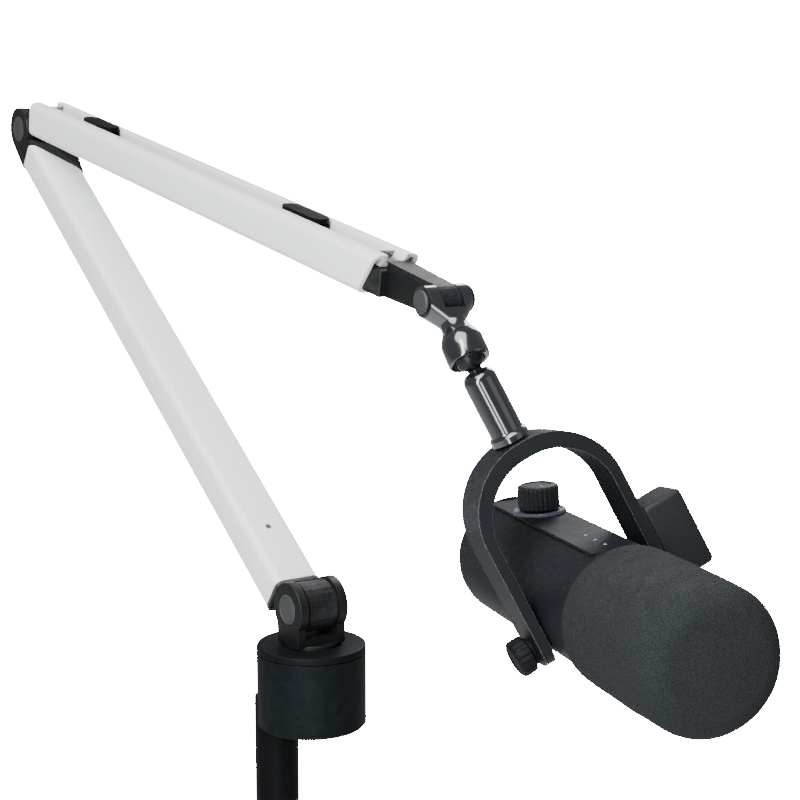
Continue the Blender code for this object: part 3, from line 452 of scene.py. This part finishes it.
seat = base["seam"] - base["gap"]
housing = along(lathed([(0, base["bottom"]), (base["radius"] - base["edge"], base["bottom"]),
                        (base["radius"], base["bottom"] + base["edge"]),
                        (base["radius"], seat - base["chamfer"]),
                        (base["radius"] - base["chamfer"], seat), (0, seat)], 144), "Z", swivelCentre)
screwHole = rod(base["screwHole"], 0.010, 0.026, "Y")
bmesh.ops.transform(screwHole, matrix=framed(baseFrame, (0, 0, base["bottom"] + base["screwHeight"]),
                                             swivel["direction"]), verts=screwHole.verts)
socket = rod(post["radius"] + base["gap"], base["bottom"] - 0.001, base["bottom"] + base["socket"])
sleeveBore = rod(base["sleeve"], seat - base["sleeveDepth"], seat + 0.001, place=swivelCentre)
housing = carved(housing, [socket, screwHole, sleeveBore])
piece("baseHousing", housing, baseFrame, "base", "baseCharcoal", ["base_housing"])
lid = [(base["radius"] - base["chamfer"], base["seam"]),
       (base["radius"], base["seam"] + base["chamfer"])]
lid += curvePoints((base["radius"] - base["edge"], swivel["top"] - base["edge"]), base["edge"], 0, 90, 6)
lid += [(base["hole"] + base["chamfer"], swivel["top"]), (base["hole"], swivel["top"] - base["chamfer"]),
        (base["hole"], base["seam"])]
piece("baseLid", along(lathed(lid, 144), "Z", swivelCentre), baseFrame, "base", "baseCharcoal",
      ["base_cover"])


# the shoulder knuckle, and the caps of both hinges
print("shaping the knuckles")
knuckle = {"barrel": 0.0135, "half": 0.0138, "elbowHalf": 0.0133, "slot": 0.0090, "cap": 0.0077,
           "capDepth": 0.0020, "bore": 0.0045, "rise": armReach["shoulderRise"], "neck": 0.0138,
           "corner": 0.0007}
outline = [(-0.010, 0.0006), (0.010, 0.0006)]
outline += curvePoints((0, knuckle["rise"]), knuckle["barrel"], -40, 220, 60)
fork = slab(outline, -knuckle["half"], knuckle["half"], "XZ")
steep = [edge for edge in fork.edges if edge.calc_face_angle(0) > radians(60)]
rounded(fork, steep, knuckle["corner"], 3)
neck = lathed([(0, -0.0034), (knuckle["neck"] - 0.0005, -0.0034), (knuckle["neck"], -0.0029),
               (knuckle["neck"], 0.0013), (knuckle["neck"] - 0.0005, 0.0018), (0, 0.0018)], 80)
slotFloor = knuckle["rise"] - knuckle["barrel"] - 0.0006
pocketAt = knuckle["half"] - knuckle["capDepth"]
cutters = [block((-0.02, -knuckle["slot"], slotFloor), (0.02, knuckle["slot"], 0.04)),
           rod(knuckle["bore"], -0.02, 0.02, "Y", (0, 0, knuckle["rise"]))]
cutters += [rod(knuckle["cap"] + 0.0003, side * pocketAt, side * 0.02, "Y", (0, 0, knuckle["rise"]), 80)
            for side in (-1, 1)]
piece("shoulderFork", carved(fork, cutters, [neck]), turretFrame, "turret", "knuckleBlack",
      ["turret_fork"])

# a round cap with a shallow ring closes each end of a hinge
radius = knuckle["cap"]
hinges = {"shoulder": (turretFrame, "turret", (0, 0, knuckle["rise"]), knuckle["half"]),
          "elbow": (lowerFrame, "lower_arm", (armReach["lower"], 0, 0), knuckle["elbowHalf"])}
for name, (place, body, centre, half) in hinges.items():
    for side, word in ((-1, "left"), (1, "right")):
        face = half + 0.0004
        disc = [(0, half - 0.0017), (radius, half - 0.0017), (radius, face - 0.0003),
                (radius - 0.0004, face), (radius - 0.0013, face + 0.0001),
                (radius - 0.0016, face - 0.0002), (radius - 0.0019, face), (0.0022, face + 0.0001),
                (0, face + 0.0001)]
        shape = along(lathed([(spread, side * height) for spread, height in disc], 80), "Y", centre)
        piece(f"{name}Cap{word.capitalize()}", shape, place, body, "capGrey",
              [f"{name}_cap_{word}"])


# the two hollow arm sections
print("extruding the arm sections")
section = {"width": 0.0253, "depth": 0.0209, "corner": 0.0042, "wall": 0.0018, "hollow": 0.010,
           "lowerRise": 0.0082, "lowerStart": 0.0169, "lowerGap": 0.0163, "mitre": 0.0300,
           "upperRise": 0.0090, "upperStart": 0.0149, "upperGap": 0.0440, "slant": 0.0130,
           "channelWidth": 0.0100, "channelDepth": 0.0045, "channelEdge": 0.0008,
           "screwHole": 0.0017, "screwAt": 0.0530}


def roundCorner(outline, y, z, start, radius, steps=8):
    outline += curvePoints((y, z), radius, start, start + 90, steps)


def sectionOutline(rise, channel):
    half, tall, corner = section["width"] / 2, section["depth"] / 2, section["corner"]
    outline = []
    roundCorner(outline, half - corner, rise + tall - corner, 0, corner)
    if channel:
        groove, edge = section["channelWidth"] / 2, section["channelEdge"]
        floor = rise + tall - section["channelDepth"]
        outline += curvePoints((groove + edge, rise + tall - edge), edge, 90, 180, 4)
        outline += [(groove, floor), (-groove, floor)]
        outline += curvePoints((-groove - edge, rise + tall - edge), edge, 0, 90, 4)
    roundCorner(outline, -half + corner, rise + tall - corner, 90, corner)
    roundCorner(outline, -half + corner, rise - tall + corner, 180, corner)
    roundCorner(outline, half - corner, rise - tall + corner, 270, corner)
    return outline


def armSection(rise, start, end, channel, slant):  # slant says how far each point of the far end moves
    bm = slab(sectionOutline(rise, channel), start, end, "YZ")
    ends = [face for face in bm.faces if len(face.verts) > 8]
    for face in ends:
        bmesh.ops.inset_region(bm, faces=[face], thickness=section["wall"], depth=0,
                               use_even_offset=True)
    for face in ends:
        inward = section["hollow"] * (1 if face.calc_center_median().x < (start + end) / 2 else -1)
        grown = bmesh.ops.extrude_discrete_faces(bm, faces=[face])["faces"]
        floorVerts = list({vert for item in grown for vert in item.verts})
        bmesh.ops.translate(bm, verts=floorVerts, vec=(inward, 0, 0))
    for vert in bm.verts:
        if vert.co.x > (start + end) / 2:
            vert.co.x += slant(vert.co)
    return bm


def lowerMitre(place):
    return -section["mitre"] * (place.y / section["width"] + 0.5)


def upperSlant(place):
    return -section["slant"] * (0.5 - (place.z - section["upperRise"]) / section["depth"])


lowerEnd = armReach["lower"] - section["lowerGap"]
lowerShape = armSection(section["lowerRise"], section["lowerStart"], lowerEnd, False, lowerMitre)
screwHole = rod(section["screwHole"], -0.004, 0.001, place=(section["screwAt"], 0, 0))
lowerShape = carved(lowerShape, [screwHole])
piece("lowerSection", lowerShape, lowerFrame, "lower_arm", "armWhite", ["lower_profile"],
      0.0002, 2)
upperEnd = armReach["upper"] - section["upperGap"] + section["slant"] / 2
upperShape = armSection(section["upperRise"], section["upperStart"], upperEnd, True, upperSlant)
grooveFloor = section["upperRise"] + section["depth"] / 2 - section["channelDepth"]
for face in upperShape.faces:  # the floor of the cable groove gets a dark grey, painted shade for the shadow in the groove
    if abs(face.calc_center_median().z - grooveFloor) < 1e-5:
        face.material_index = 1
upperSection = piece("upperSection", upperShape, upperFrame, "upper_arm", "armWhite",
                     ["upper_profile"], 0.0002, 2)
upperSection.data.materials.append(finishes["groovePaintedShade"])

clips = {"rear": 0.0906, "front": 0.3245, "length": 0.0360, "half": 0.0047, "proud": 0.0014,
         "tunnelHalf": 0.0026, "tunnelRoof": 0.0034}
for word in ("rear", "front"):
    at, reach = clips[word], clips["length"] / 2 - clips["half"]
    outline = curvePoints((at - reach, 0), clips["half"], 90, 270, 20)
    outline += curvePoints((at + reach, 0), clips["half"], -90, 90, 20)
    shape = slab(outline, grooveFloor + 0.0003, grooveFloor + section["channelDepth"] + clips["proud"])
    tunnel = block((at - 0.03, -clips["tunnelHalf"], grooveFloor - 0.001),
                   (at + 0.03, clips["tunnelHalf"], grooveFloor + clips["tunnelRoof"]))
    shape = carved(shape, [tunnel])
    piece(f"cableClip{word.capitalize()}", shape, upperFrame, "upper_arm", "postBlack",
          [f"cable_clip_{word}"], 0.0006, 3)


# the wrist, the two tubes and the ball joint between them
print("turning the tubes and the ball joint")
wrist = {"barrel": 0.0070, "half": 0.0110, "slot": 0.0053, "bore": 0.0031, "leftCap": 0.0053,
         "rightCap": 0.0061}
tube = {"radius": 0.00615, "collarTop": -0.0192, "lip": 0.0084, "spigot": 0.0058}
top = tube["collarTop"]
tubeOutline = [(0, -0.0100), (tube["radius"], -0.0100), (tube["radius"], top + 0.0062)]
tubeOutline += [(0.00625, top + 0.0050), (0.0066, top + 0.0036), (0.0073, top + 0.0020),
                (0.0080, top + 0.0009), (tube["lip"], top + 0.0003), (tube["spigot"], top + 0.0003),
                (tube["spigot"], top - 0.0024), (0, top - 0.0024)]
upperTube = lathed(tubeOutline, 96)
cheeks = bmesh.new()
for x, z in curvePoints((0, 0), wrist["barrel"], 0, 354, 59):
    for side in (-1, 1):
        cheeks.verts.new((x, side * wrist["half"], z))
for x, y in curvePoints((0, 0), tube["radius"] - 0.0003, 0, 354, 59):
    cheeks.verts.new((x, y, -0.0125))
hull = bmesh.ops.convex_hull(cheeks, input=cheeks.verts)
bmesh.ops.delete(cheeks, geom=hull["geom_interior"], context="VERTS")
bmesh.ops.dissolve_limit(cheeks, angle_limit=radians(0.5), verts=cheeks.verts, edges=cheeks.edges)
cutters = [block((-0.02, -wrist["slot"], -wrist["barrel"] - 0.0006), (0.02, wrist["slot"], 0.02)),
           rod(wrist["bore"], -0.02, 0.02, "Y")]
upperTube = carved(upperTube, cutters, [cheeks])
piece("upperTube", upperTube, wristFrame, "tube", "tubeGloss", ["upper_tube"], 0.0003, 2)

wristPlace = (armReach["upper"], 0, armReach["wristRise"])
for side, word, radius, face, look, slotName in (
        (-1, "left", wrist["leftCap"], wrist["half"] + 0.0015, "capGrey", "grey_trim"),
        (1, "right", wrist["rightCap"], wrist["half"] + 0.0024, "knuckleBlack", "black_plastic")):
    disc = [(0, wrist["half"] + 0.0003), (radius, wrist["half"] + 0.0003), (radius, face - 0.0006),
            (radius - 0.0005, face - 0.0001), (radius - 0.0012, face), (0, face)]
    shape = along(lathed([(spread, side * height) for spread, height in disc], 64), "Y", wristPlace)
    piece(f"wristCap{word.capitalize()}", shape, upperFrame, "upper_arm", look,
          [f"wrist_cap_{word}"])

collar = {"radius": 0.0095, "below": 0.0028, "above": 0.0100, "cup": 0.0071, "cupTop": 0.0050,
          "throat": 0.0061}
wall = [(collar["radius"] - 0.0010, -collar["below"]),
        (collar["radius"] - 0.0003, -collar["below"] + 0.0004),
        (collar["radius"], -collar["below"] + 0.0012), (collar["radius"], collar["above"] - 0.0034)]
wall += [(collar["radius"] - 0.0002, collar["above"] - 0.0022),
         (collar["radius"] - 0.0006, collar["above"] - 0.0010), (tube["lip"], collar["above"]),
         (collar["throat"], collar["above"]), (collar["throat"], 0.0072)]
for step in range(17):
    height = collar["cupTop"] - (collar["cupTop"] + collar["below"]) * step / 16
    wall.append((sqrt(collar["cup"] ** 2 - height ** 2), height))
piece("lockingCollar", lathed(wall, 112), collarFrame, "collar", "tubeGloss",
      ["ball_collar"])

ball = {"radius": 0.0068, "neck": 0.0032, "studLow": -0.0180}
start = sqrt(ball["radius"] ** 2 - ball["neck"] ** 2)
stud = [(0, ball["radius"])]
for step in range(1, 24):
    height = ball["radius"] - (ball["radius"] + start) * step / 24
    stud.append((sqrt(ball["radius"] ** 2 - height ** 2), height))
stud += [(ball["neck"], -start), (ball["neck"], ball["studLow"]), (0, ball["studLow"])]
piece("ballStud", lathed(stud, 64), stemFrame, "stem", "ballSteel", ["ball_stud"])
stem = {"radius": 0.0075, "bore": 0.0035, "low": -0.0414}
low = stem["low"]
stemOutline = [(stem["bore"], -0.0074), (0.0044, -0.0074), (0.0054, -0.0077), (0.0064, -0.0086),
               (0.0071, -0.0098), (stem["radius"], -0.0114), (stem["radius"], low + 0.0052),
               (0.0077, low + 0.0045), (0.0084, low + 0.0039), (0.0088, low + 0.0033),
               (0.0088, low + 0.0007), (0.0082, low), (stem["bore"], low)]
piece("lowerTube", lathed(stemOutline, 112), stemFrame, "stem", "tubeGloss",
      ["lower_tube"])


# the yoke, its connector block and its lock knob
print("bending the yoke")
yoke = {"half": 0.0348, "top": 0.0846, "corner": 0.0330, "thick": 0.0050, "arch": 0.0026,
        "width": 0.0240, "foot": 0.0075, "footCorner": 0.0070, "edge": 0.0011, "pocket": 0.0036,
        "pivotHole": 0.0036, "boltHole": 0.0042, "boltHead": 0.0062}
over, reach = yoke["top"] - yoke["corner"], yoke["half"] - yoke["corner"]
under, inner = over - yoke["arch"], yoke["corner"] - yoke["thick"]
outline = [(-yoke["half"], -yoke["foot"])] + curvePoints((-reach, over), yoke["corner"], 180, 90, 36)
outline += curvePoints((reach, over), yoke["corner"], 90, 0, 36) + [(yoke["half"], -yoke["foot"])]
outline.append((yoke["half"] - yoke["thick"], -yoke["foot"]))
outline += curvePoints((reach, under), inner, 0, 90, 36)
outline += curvePoints((-reach, under), inner, 90, 180, 36)
outline.append((-yoke["half"] + yoke["thick"], -yoke["foot"]))
band = slab(outline, -yoke["width"] / 2, yoke["width"] / 2, "YZ")
tips = [edge for edge in band.edges if all(abs(vert.co.z + yoke["foot"]) < 1e-6 for vert in edge.verts)
        and abs(edge.verts[0].co.x - edge.verts[1].co.x) < 1e-6]
rounded(band, tips, yoke["footCorner"], 10)
inside = yoke["top"] - yoke["thick"] - yoke["arch"]
band = carved(band, [rod(yoke["pivotHole"], -0.04, 0.04, "Y"),
                     rod(yoke["boltHole"], yoke["top"] - 0.01, yoke["top"] + 0.01),
                     rod(yoke["boltHead"], inside - 0.01, inside + yoke["pocket"])])
yokeBand = piece("yokeBand", band, yokeFrame, "yoke_body", "yokeCharcoal", ["yoke"])
# the bevel faces take the second slot, a lighter tone that paints a highlight along the yoke's edges
yokeBand.data.materials.append(finishes["yokePaintedEdgeHighlight"])
beveled(yokeBand, yoke["edge"], 3, slotIndex=1)

plugBlock = {"depth": 0.0220, "low": -0.0055, "high": 0.0315, "outer": 0.0551, "corner": 0.0026,
             "socket": 0.0082, "socketRise": 0.0030, "screwHead": 0.0048, "pinSpread": 0.0040}
near = yoke["half"] + 0.0003
middle = (near + plugBlock["outer"]) / 2
socketLevel = (plugBlock["low"] + plugBlock["high"]) / 2 + plugBlock["socketRise"]
shape = block((-plugBlock["depth"] / 2, near, plugBlock["low"]),
              (plugBlock["depth"] / 2, plugBlock["outer"], plugBlock["high"]), plugBlock["corner"], 6)
shape = carved(shape, [rod(plugBlock["socket"], -0.02, 0.0040, "X", (0, middle, socketLevel), 80),
                       rod(plugBlock["screwHead"], near - 0.001, near + 0.0032, "Y")])
piece("connectorBlock", shape, yokeFrame, "yoke_body", "blockCharcoal",
      ["connector_block"], 0.0002, 2)
insert = rod(plugBlock["socket"] - 0.0003, 0.0007, 0.0037, "X", (0, middle, socketLevel), 64)
piece("socketInsert", insert, yokeFrame, "yoke_body", "knuckleBlack", ["xlr_insert"])
pins = bmesh.new()
for angle in (90, 210, 330):
    pin = lathed([(0, -0.0102), (0.0007, -0.0101), (0.0012, -0.0096), (0.0012, 0.0007), (0, 0.0007)], 24)
    turn, spread = radians(angle), plugBlock["pinSpread"]
    along(pin, "X", (0, middle + spread * cos(turn), socketLevel + spread * sin(turn)))
    mesh = bpy.data.meshes.new("pin")
    pin.to_mesh(mesh)
    pin.free()
    pins.from_mesh(mesh)
    bpy.data.meshes.remove(mesh)
piece("socketPins", pins, yokeFrame, "yoke_body", "pinGold")

grip = {"radius": 0.0086, "length": 0.0092, "flutes": 18, "depth": 0.0004, "plain": 0.0078,
        "gap": 0.0006}
face = -grip["gap"]
knobEnd = face - grip["length"]
knob = [(0, face - 0.0072), (0.0034, face - 0.0072), (0.0034, face), (0.0064, face),
        (0.0064, face - 0.0014), (grip["radius"] - 0.0006, face - 0.0018),
        (grip["radius"], face - 0.0024), (grip["radius"], knobEnd + 0.0018),
        (grip["radius"] - 0.0005, knobEnd + 0.0009),
        (grip["radius"] - 0.0016, knobEnd + 0.0002), (grip["radius"] - 0.0026, knobEnd),
        (0.0050, knobEnd), (0.0046, knobEnd + 0.0004), (0, knobEnd + 0.0004)]
shape = along(fluted(lathed(knob, 216), grip["flutes"], grip["depth"], grip["plain"]), "Y")
piece("lockKnob", shape, framed(yokeFrame, (0, -yoke["half"], 0)), "lock_knob_body", "knobRubber",
      ["lock_knob"])


# the microphone's body, its top panel and its knob
print("building the microphone")
body = {"radius": 0.0288, "front": 0.0350, "rear": 0.0880, "tail": 0.1010, "tailRadius": 0.0208,
        "flat": 0.0260, "panelEnd": 0.0285, "pivotBore": 0.0034, "inner": 0.0268}
shell = [(body["radius"] - 0.0006, body["front"]), (body["radius"], body["front"] - 0.0006),
         (body["radius"], -body["rear"])]
for angle in range(10, 71, 10):
    turn = radians(angle)
    shell.append((body["radius"] - 0.0090 * (1 - cos(turn)), -body["rear"] - 0.0128 * sin(turn)))
shell += [(body["tailRadius"], -body["tail"]), (0.0190, -body["tail"]), (0.0190, -body["tail"] + 0.003),
          (body["inner"], -body["rear"]), (body["inner"], body["front"])]
shape = along(lathed(shell, 176), "X")
panelStart = -body["rear"] - 0.0020
flat = block((panelStart, -0.02, body["flat"]), (body["panelEnd"], 0.02, 0.04))
rolled(flat, restTurns["panel"], "X")
bores = [rod(body["pivotBore"], side * 0.0200, side * 0.0320, "Y", (0, 0, -hangs["bodyLift"]))
         for side in (-1, 1)]
piece("bodyShell", carved(shape, [flat] + bores), bodyFrame, "microphone", "bodyCharcoal",
      ["body_shell"], 0.0004, 3)

panel = {"gap": 0.0003, "edgeGap": 0.0006, "thick": 0.0016, "shaftHole": 0.0030,
         "dots": (-0.004, 0.006, 0.016), "dotHole": 0.0011, "dotRadius": 0.0009}
panelHalf = sqrt(body["radius"] ** 2 - body["flat"] ** 2) - panel["edgeGap"]
high = body["flat"] + panel["thick"]
plate = block((panelStart + panel["gap"], -panelHalf, body["flat"] + panel["gap"]),
              (body["panelEnd"] - panel["gap"], panelHalf, high))
dotHoles = [rod(panel["dotHole"], body["flat"] + 0.0010, 0.04, "Z", (at, 0, 0)) for at in panel["dots"]]
shape = carved(plate, [rod(panel["shaftHole"], 0, 0.04, "Z", (hangs["levelKnob"], 0, 0))] + dotHoles)
piece("topPanel", shape, panelFrame, "microphone", "panelCharcoal", ["top_panel"],
      0.0005, 4)
for index, at in enumerate(panel["dots"]):
    lens = lathed([(0, body["flat"] + 0.0009), (panel["dotRadius"], body["flat"] + 0.0009),
                   (panel["dotRadius"], body["flat"] + 0.0014), (0.0006, high), (0, high)], 32)
    piece(f"markDot{index}", along(lens, "Z", (at, 0, 0)), panelFrame, "microphone", "pointerGrey")

flange = [(0.0125, high + 0.0003), (0.0125, high + 0.0009), (0.0122, high + 0.0014),
          (0.0116, high + 0.0018), (0.0104, high + 0.0018), (0.0100, high + 0.0014),
          (0.0032, high + 0.0014), (0.0032, high + 0.0003)]
piece("knobFlange", along(lathed(flange, 96), "Z", (hangs["levelKnob"], 0, 0)), panelFrame, "microphone",
      "flangeBlueGrey", ["knob_flange"])

level = {"radius": 0.0097, "low": 0.0020, "high": 0.0134, "flutes": 24, "depth": 0.00035,
         "plain": 0.0090, "shaft": 0.0026, "shaftLow": -0.0067}
knobTop = level["high"]
knob = [(0, level["shaftLow"]), (level["shaft"], level["shaftLow"]), (level["shaft"], level["low"]),
        (level["radius"] - 0.0007, level["low"]), (level["radius"], level["low"] + 0.0008),
        (level["radius"], knobTop - 0.0018), (level["radius"] - 0.0003, knobTop - 0.0009),
        (level["radius"] - 0.0010, knobTop - 0.0002), (level["radius"] - 0.0018, knobTop),
        (0.0062, knobTop), (0.0058, knobTop - 0.0004), (0, knobTop - 0.0004)]
shape = fluted(lathed(knob, 240), level["flutes"], level["depth"], level["plain"])
piece("levelKnob", shape, levelFrame, "level_knob_body", "blockCharcoal", ["level_knob"])
pointer = block((0.0020, -0.0004, knobTop - 0.0005), (0.0056, 0.0004, knobTop - 0.0001), 0.0001, 2)
piece("levelPointer", pointer, levelFrame, "level_knob_body", "pointerGrey")

tail = -body["tail"]
cap = [(0, tail - 0.0016), (0.0070, tail - 0.0016), (0.0074, tail - 0.0012), (0.0078, tail - 0.0016),
       (0.0186, tail - 0.0022), (0.0198, tail - 0.0019), (body["tailRadius"], tail - 0.0010),
       (body["tailRadius"], tail - 0.0003), (0.0184, tail - 0.0003), (0.0184, tail + 0.0020),
       (0, tail + 0.0020)]
piece("rearCap", along(lathed(cap, 112), "X"), bodyFrame, "microphone", "bodyCharcoal",
      ["rear_cap"])


# the foam windscreen, with a soft rolled edge and an uneven skin
print("shaping the foam")
foam = {"radius": 0.0315, "start": 0.0355, "end": 0.1160, "edge": 0.0125, "dome": 0.0012,
        "inner": 0.0229, "rim": 0.0030, "crown": 0.0004, "uneven": 0.00016, "fill": 0.8,
        "hollowEnd": 0.1080, "skinRadius": 0.024, "skinEnd": 0.112}
skin = [(foam["inner"], foam["start"])]
rimCentre = (foam["start"] + foam["rim"], foam["radius"] - foam["rim"])
skin += [(spread, height) for height, spread in curvePoints(rimCentre, foam["rim"], 180, 90, 8)]
sideEnd = foam["end"] - foam["edge"]
for step in range(1, 36):
    run = step / 36
    skin.append((foam["radius"] + foam["crown"] * sin(pi * run),
                 foam["start"] + foam["rim"] + (sideEnd - foam["start"] - foam["rim"]) * run))
skin += [(spread, height) for height, spread in
         curvePoints((sideEnd, foam["radius"] - foam["edge"]), foam["edge"], 90, 0, 22)]
for step in range(1, 17):
    run = step / 16
    bulge = foam["dome"] * sin(pi / 2 * run)
    skin.append(((foam["radius"] - foam["edge"]) * (1 - run), foam["end"] + bulge))
hollow = [(0, foam["hollowEnd"]), (0.0168, foam["hollowEnd"]), (0.0208, 0.1062), (foam["inner"], 0.1019)]
windscreen = along(lathed(hollow + skin, 224), "X")
for vert in windscreen.verts:  # only the outer skin is uneven
    spread = Vector((0, vert.co.y, vert.co.z))
    if spread.length > foam["skinRadius"] or vert.co.x > foam["skinEnd"]:
        lift = noise.noise(vert.co * 70) + 0.6 * noise.noise(vert.co * 240)
        lift += 0.35 * noise.noise(vert.co * 800)
        vert.co += vert.normal * foam["uneven"] * lift
piece("foamWindscreen", windscreen, bodyFrame, "microphone", "foamCharcoal",
                ["windscreen"], sharp=70)


# frame pieces that keep their own shape
print("finishing the frame pieces")
keptLooks = {"lower_hinge_block": "knuckleBlack", "upper_hinge_block": "knuckleBlack",
             "lower_elbow_block": "knuckleBlack", "wrist_bracket": "knuckleBlack",
             "lower_end_rim": "capGrey", "swivel_sleeve": "bearingBrass", "stem_bolt": "ballSteel",
             "circuit_board": "boardGreen", "grille": "meshSteel", "grille_mount": "knuckleBlack",
             "shock_mount": "knobRubber",
             "spring_anchor": "knuckleBlack", "pivot_screw_left": "ballSteel",
             "pivot_screw_right": "ballSteel"}
for name, node in nodes.items():
    look = keptLooks.get(name, "washerNylon" if "washer" in name else "plainSteel")
    node.data.materials.clear()
    node.data.materials.append(finishes[look])
    if look == "knuckleBlack":
        beveled(node, 0.0004, 3)


# floor, light and camera
print("setting the studio")
studio = {"floor": -0.60, "size": 14.0, "shown": 60.0, "fill": 0.32}


def paleShader(name, tree, output, lit):  # an even white behind the object, soft pale light on it
    path = tree.nodes.new("ShaderNodeLightPath").outputs["Is Camera Ray"]
    shown = tree.nodes.new("ShaderNodeEmission" if name == "floor" else "ShaderNodeBackground")
    shown.inputs["Color"].default_value = (1, 1, 1, 1)
    shown.inputs["Strength"].default_value = studio["shown"]
    mix = tree.nodes.new("ShaderNodeMixShader")
    tree.links.new(path, mix.inputs[0])
    tree.links.new(lit, mix.inputs[1])
    tree.links.new(shown.outputs[0], mix.inputs[2])
    tree.links.new(mix.outputs[0], output.inputs["Surface"])


floorMesh = bmesh.new()
bmesh.ops.create_grid(floorMesh, x_segments=1, y_segments=1, size=studio["size"] / 2)
bmesh.ops.translate(floorMesh, vec=(0, 0, studio["floor"]), verts=floorMesh.verts)
floor = loose(floorMesh)
floor.name = "floor"
floorPaint = bpy.data.materials.new("floorPaint")
floorPaint.use_nodes = True
floorTree = floorPaint.node_tree
floorShader = floorTree.nodes["Principled BSDF"]
floorShader.inputs["Base Color"].default_value = (0.85, 0.85, 0.85, 1)
floorShader.inputs["Roughness"].default_value = 0.9
paleShader("floor", floorTree, floorTree.nodes["Material Output"], floorShader.outputs[0])
floor.data.materials.append(floorPaint)

world = bpy.data.worlds.new("studio")
world.use_nodes = True
bpy.context.scene.world = world
worldTree = world.node_tree
worldLight = worldTree.nodes["Background"]
worldLight.inputs["Color"].default_value = (0.93, 0.96, 1.0, 1)
worldLight.inputs["Strength"].default_value = studio["fill"]
paleShader("world", worldTree, worldTree.nodes["World Output"], worldLight.outputs[0])

# each lamp has a place, a size, a power and a colour
lamps = {"key": ((0.45, -0.75, 1.75), (1.3, 1.3), 50, (1.0, 0.99, 0.98)),
         "strip": ((0.70, -0.92, 0.72), (0.26, 1.4), 30, (0.90, 0.95, 1.0)),
         "side": ((1.5, 0.55, 0.8), (0.9, 0.9), 1.5, (0.96, 0.98, 1.0)),
         "rim": ((-0.8, 1.2, 1.1), (0.8, 0.8), 16, (0.96, 0.98, 1.0)),
         "glint": ((0.86, -0.52, 0.02), (0.13, 0.70), 4, (0.88, 0.94, 1.0))}
aim = Vector((0.05, 0.02, 0.24))
for name, (place, size, power, colour) in lamps.items():
    light = bpy.data.lights.new(name, "AREA")
    light.shape = "RECTANGLE"
    light.size, light.size_y = size
    light.energy = power
    light.color = colour
    lamp = bpy.data.objects.new(name, light)
    bpy.context.collection.objects.link(lamp)
    lamp.location = place
    lamp.rotation_euler = (aim - Vector(place)).to_track_quat("-Z", "Y").to_euler()

view = {"place": (0.79105, -0.45054, 0.38293), "down": 9.7208, "round": 56.412, "lens": 84.515,
        "sensor": 36, "near": 0.01}
camera = bpy.data.objects.new("camera", bpy.data.cameras.new("camera"))
bpy.context.collection.objects.link(camera)
camera.location = view["place"]
camera.rotation_euler = (radians(90 - view["down"]), 0, radians(view["round"]))
camera.data.lens = view["lens"]
camera.data.sensor_width = view["sensor"]
camera.data.clip_start = view["near"]
bpy.context.scene.camera = camera
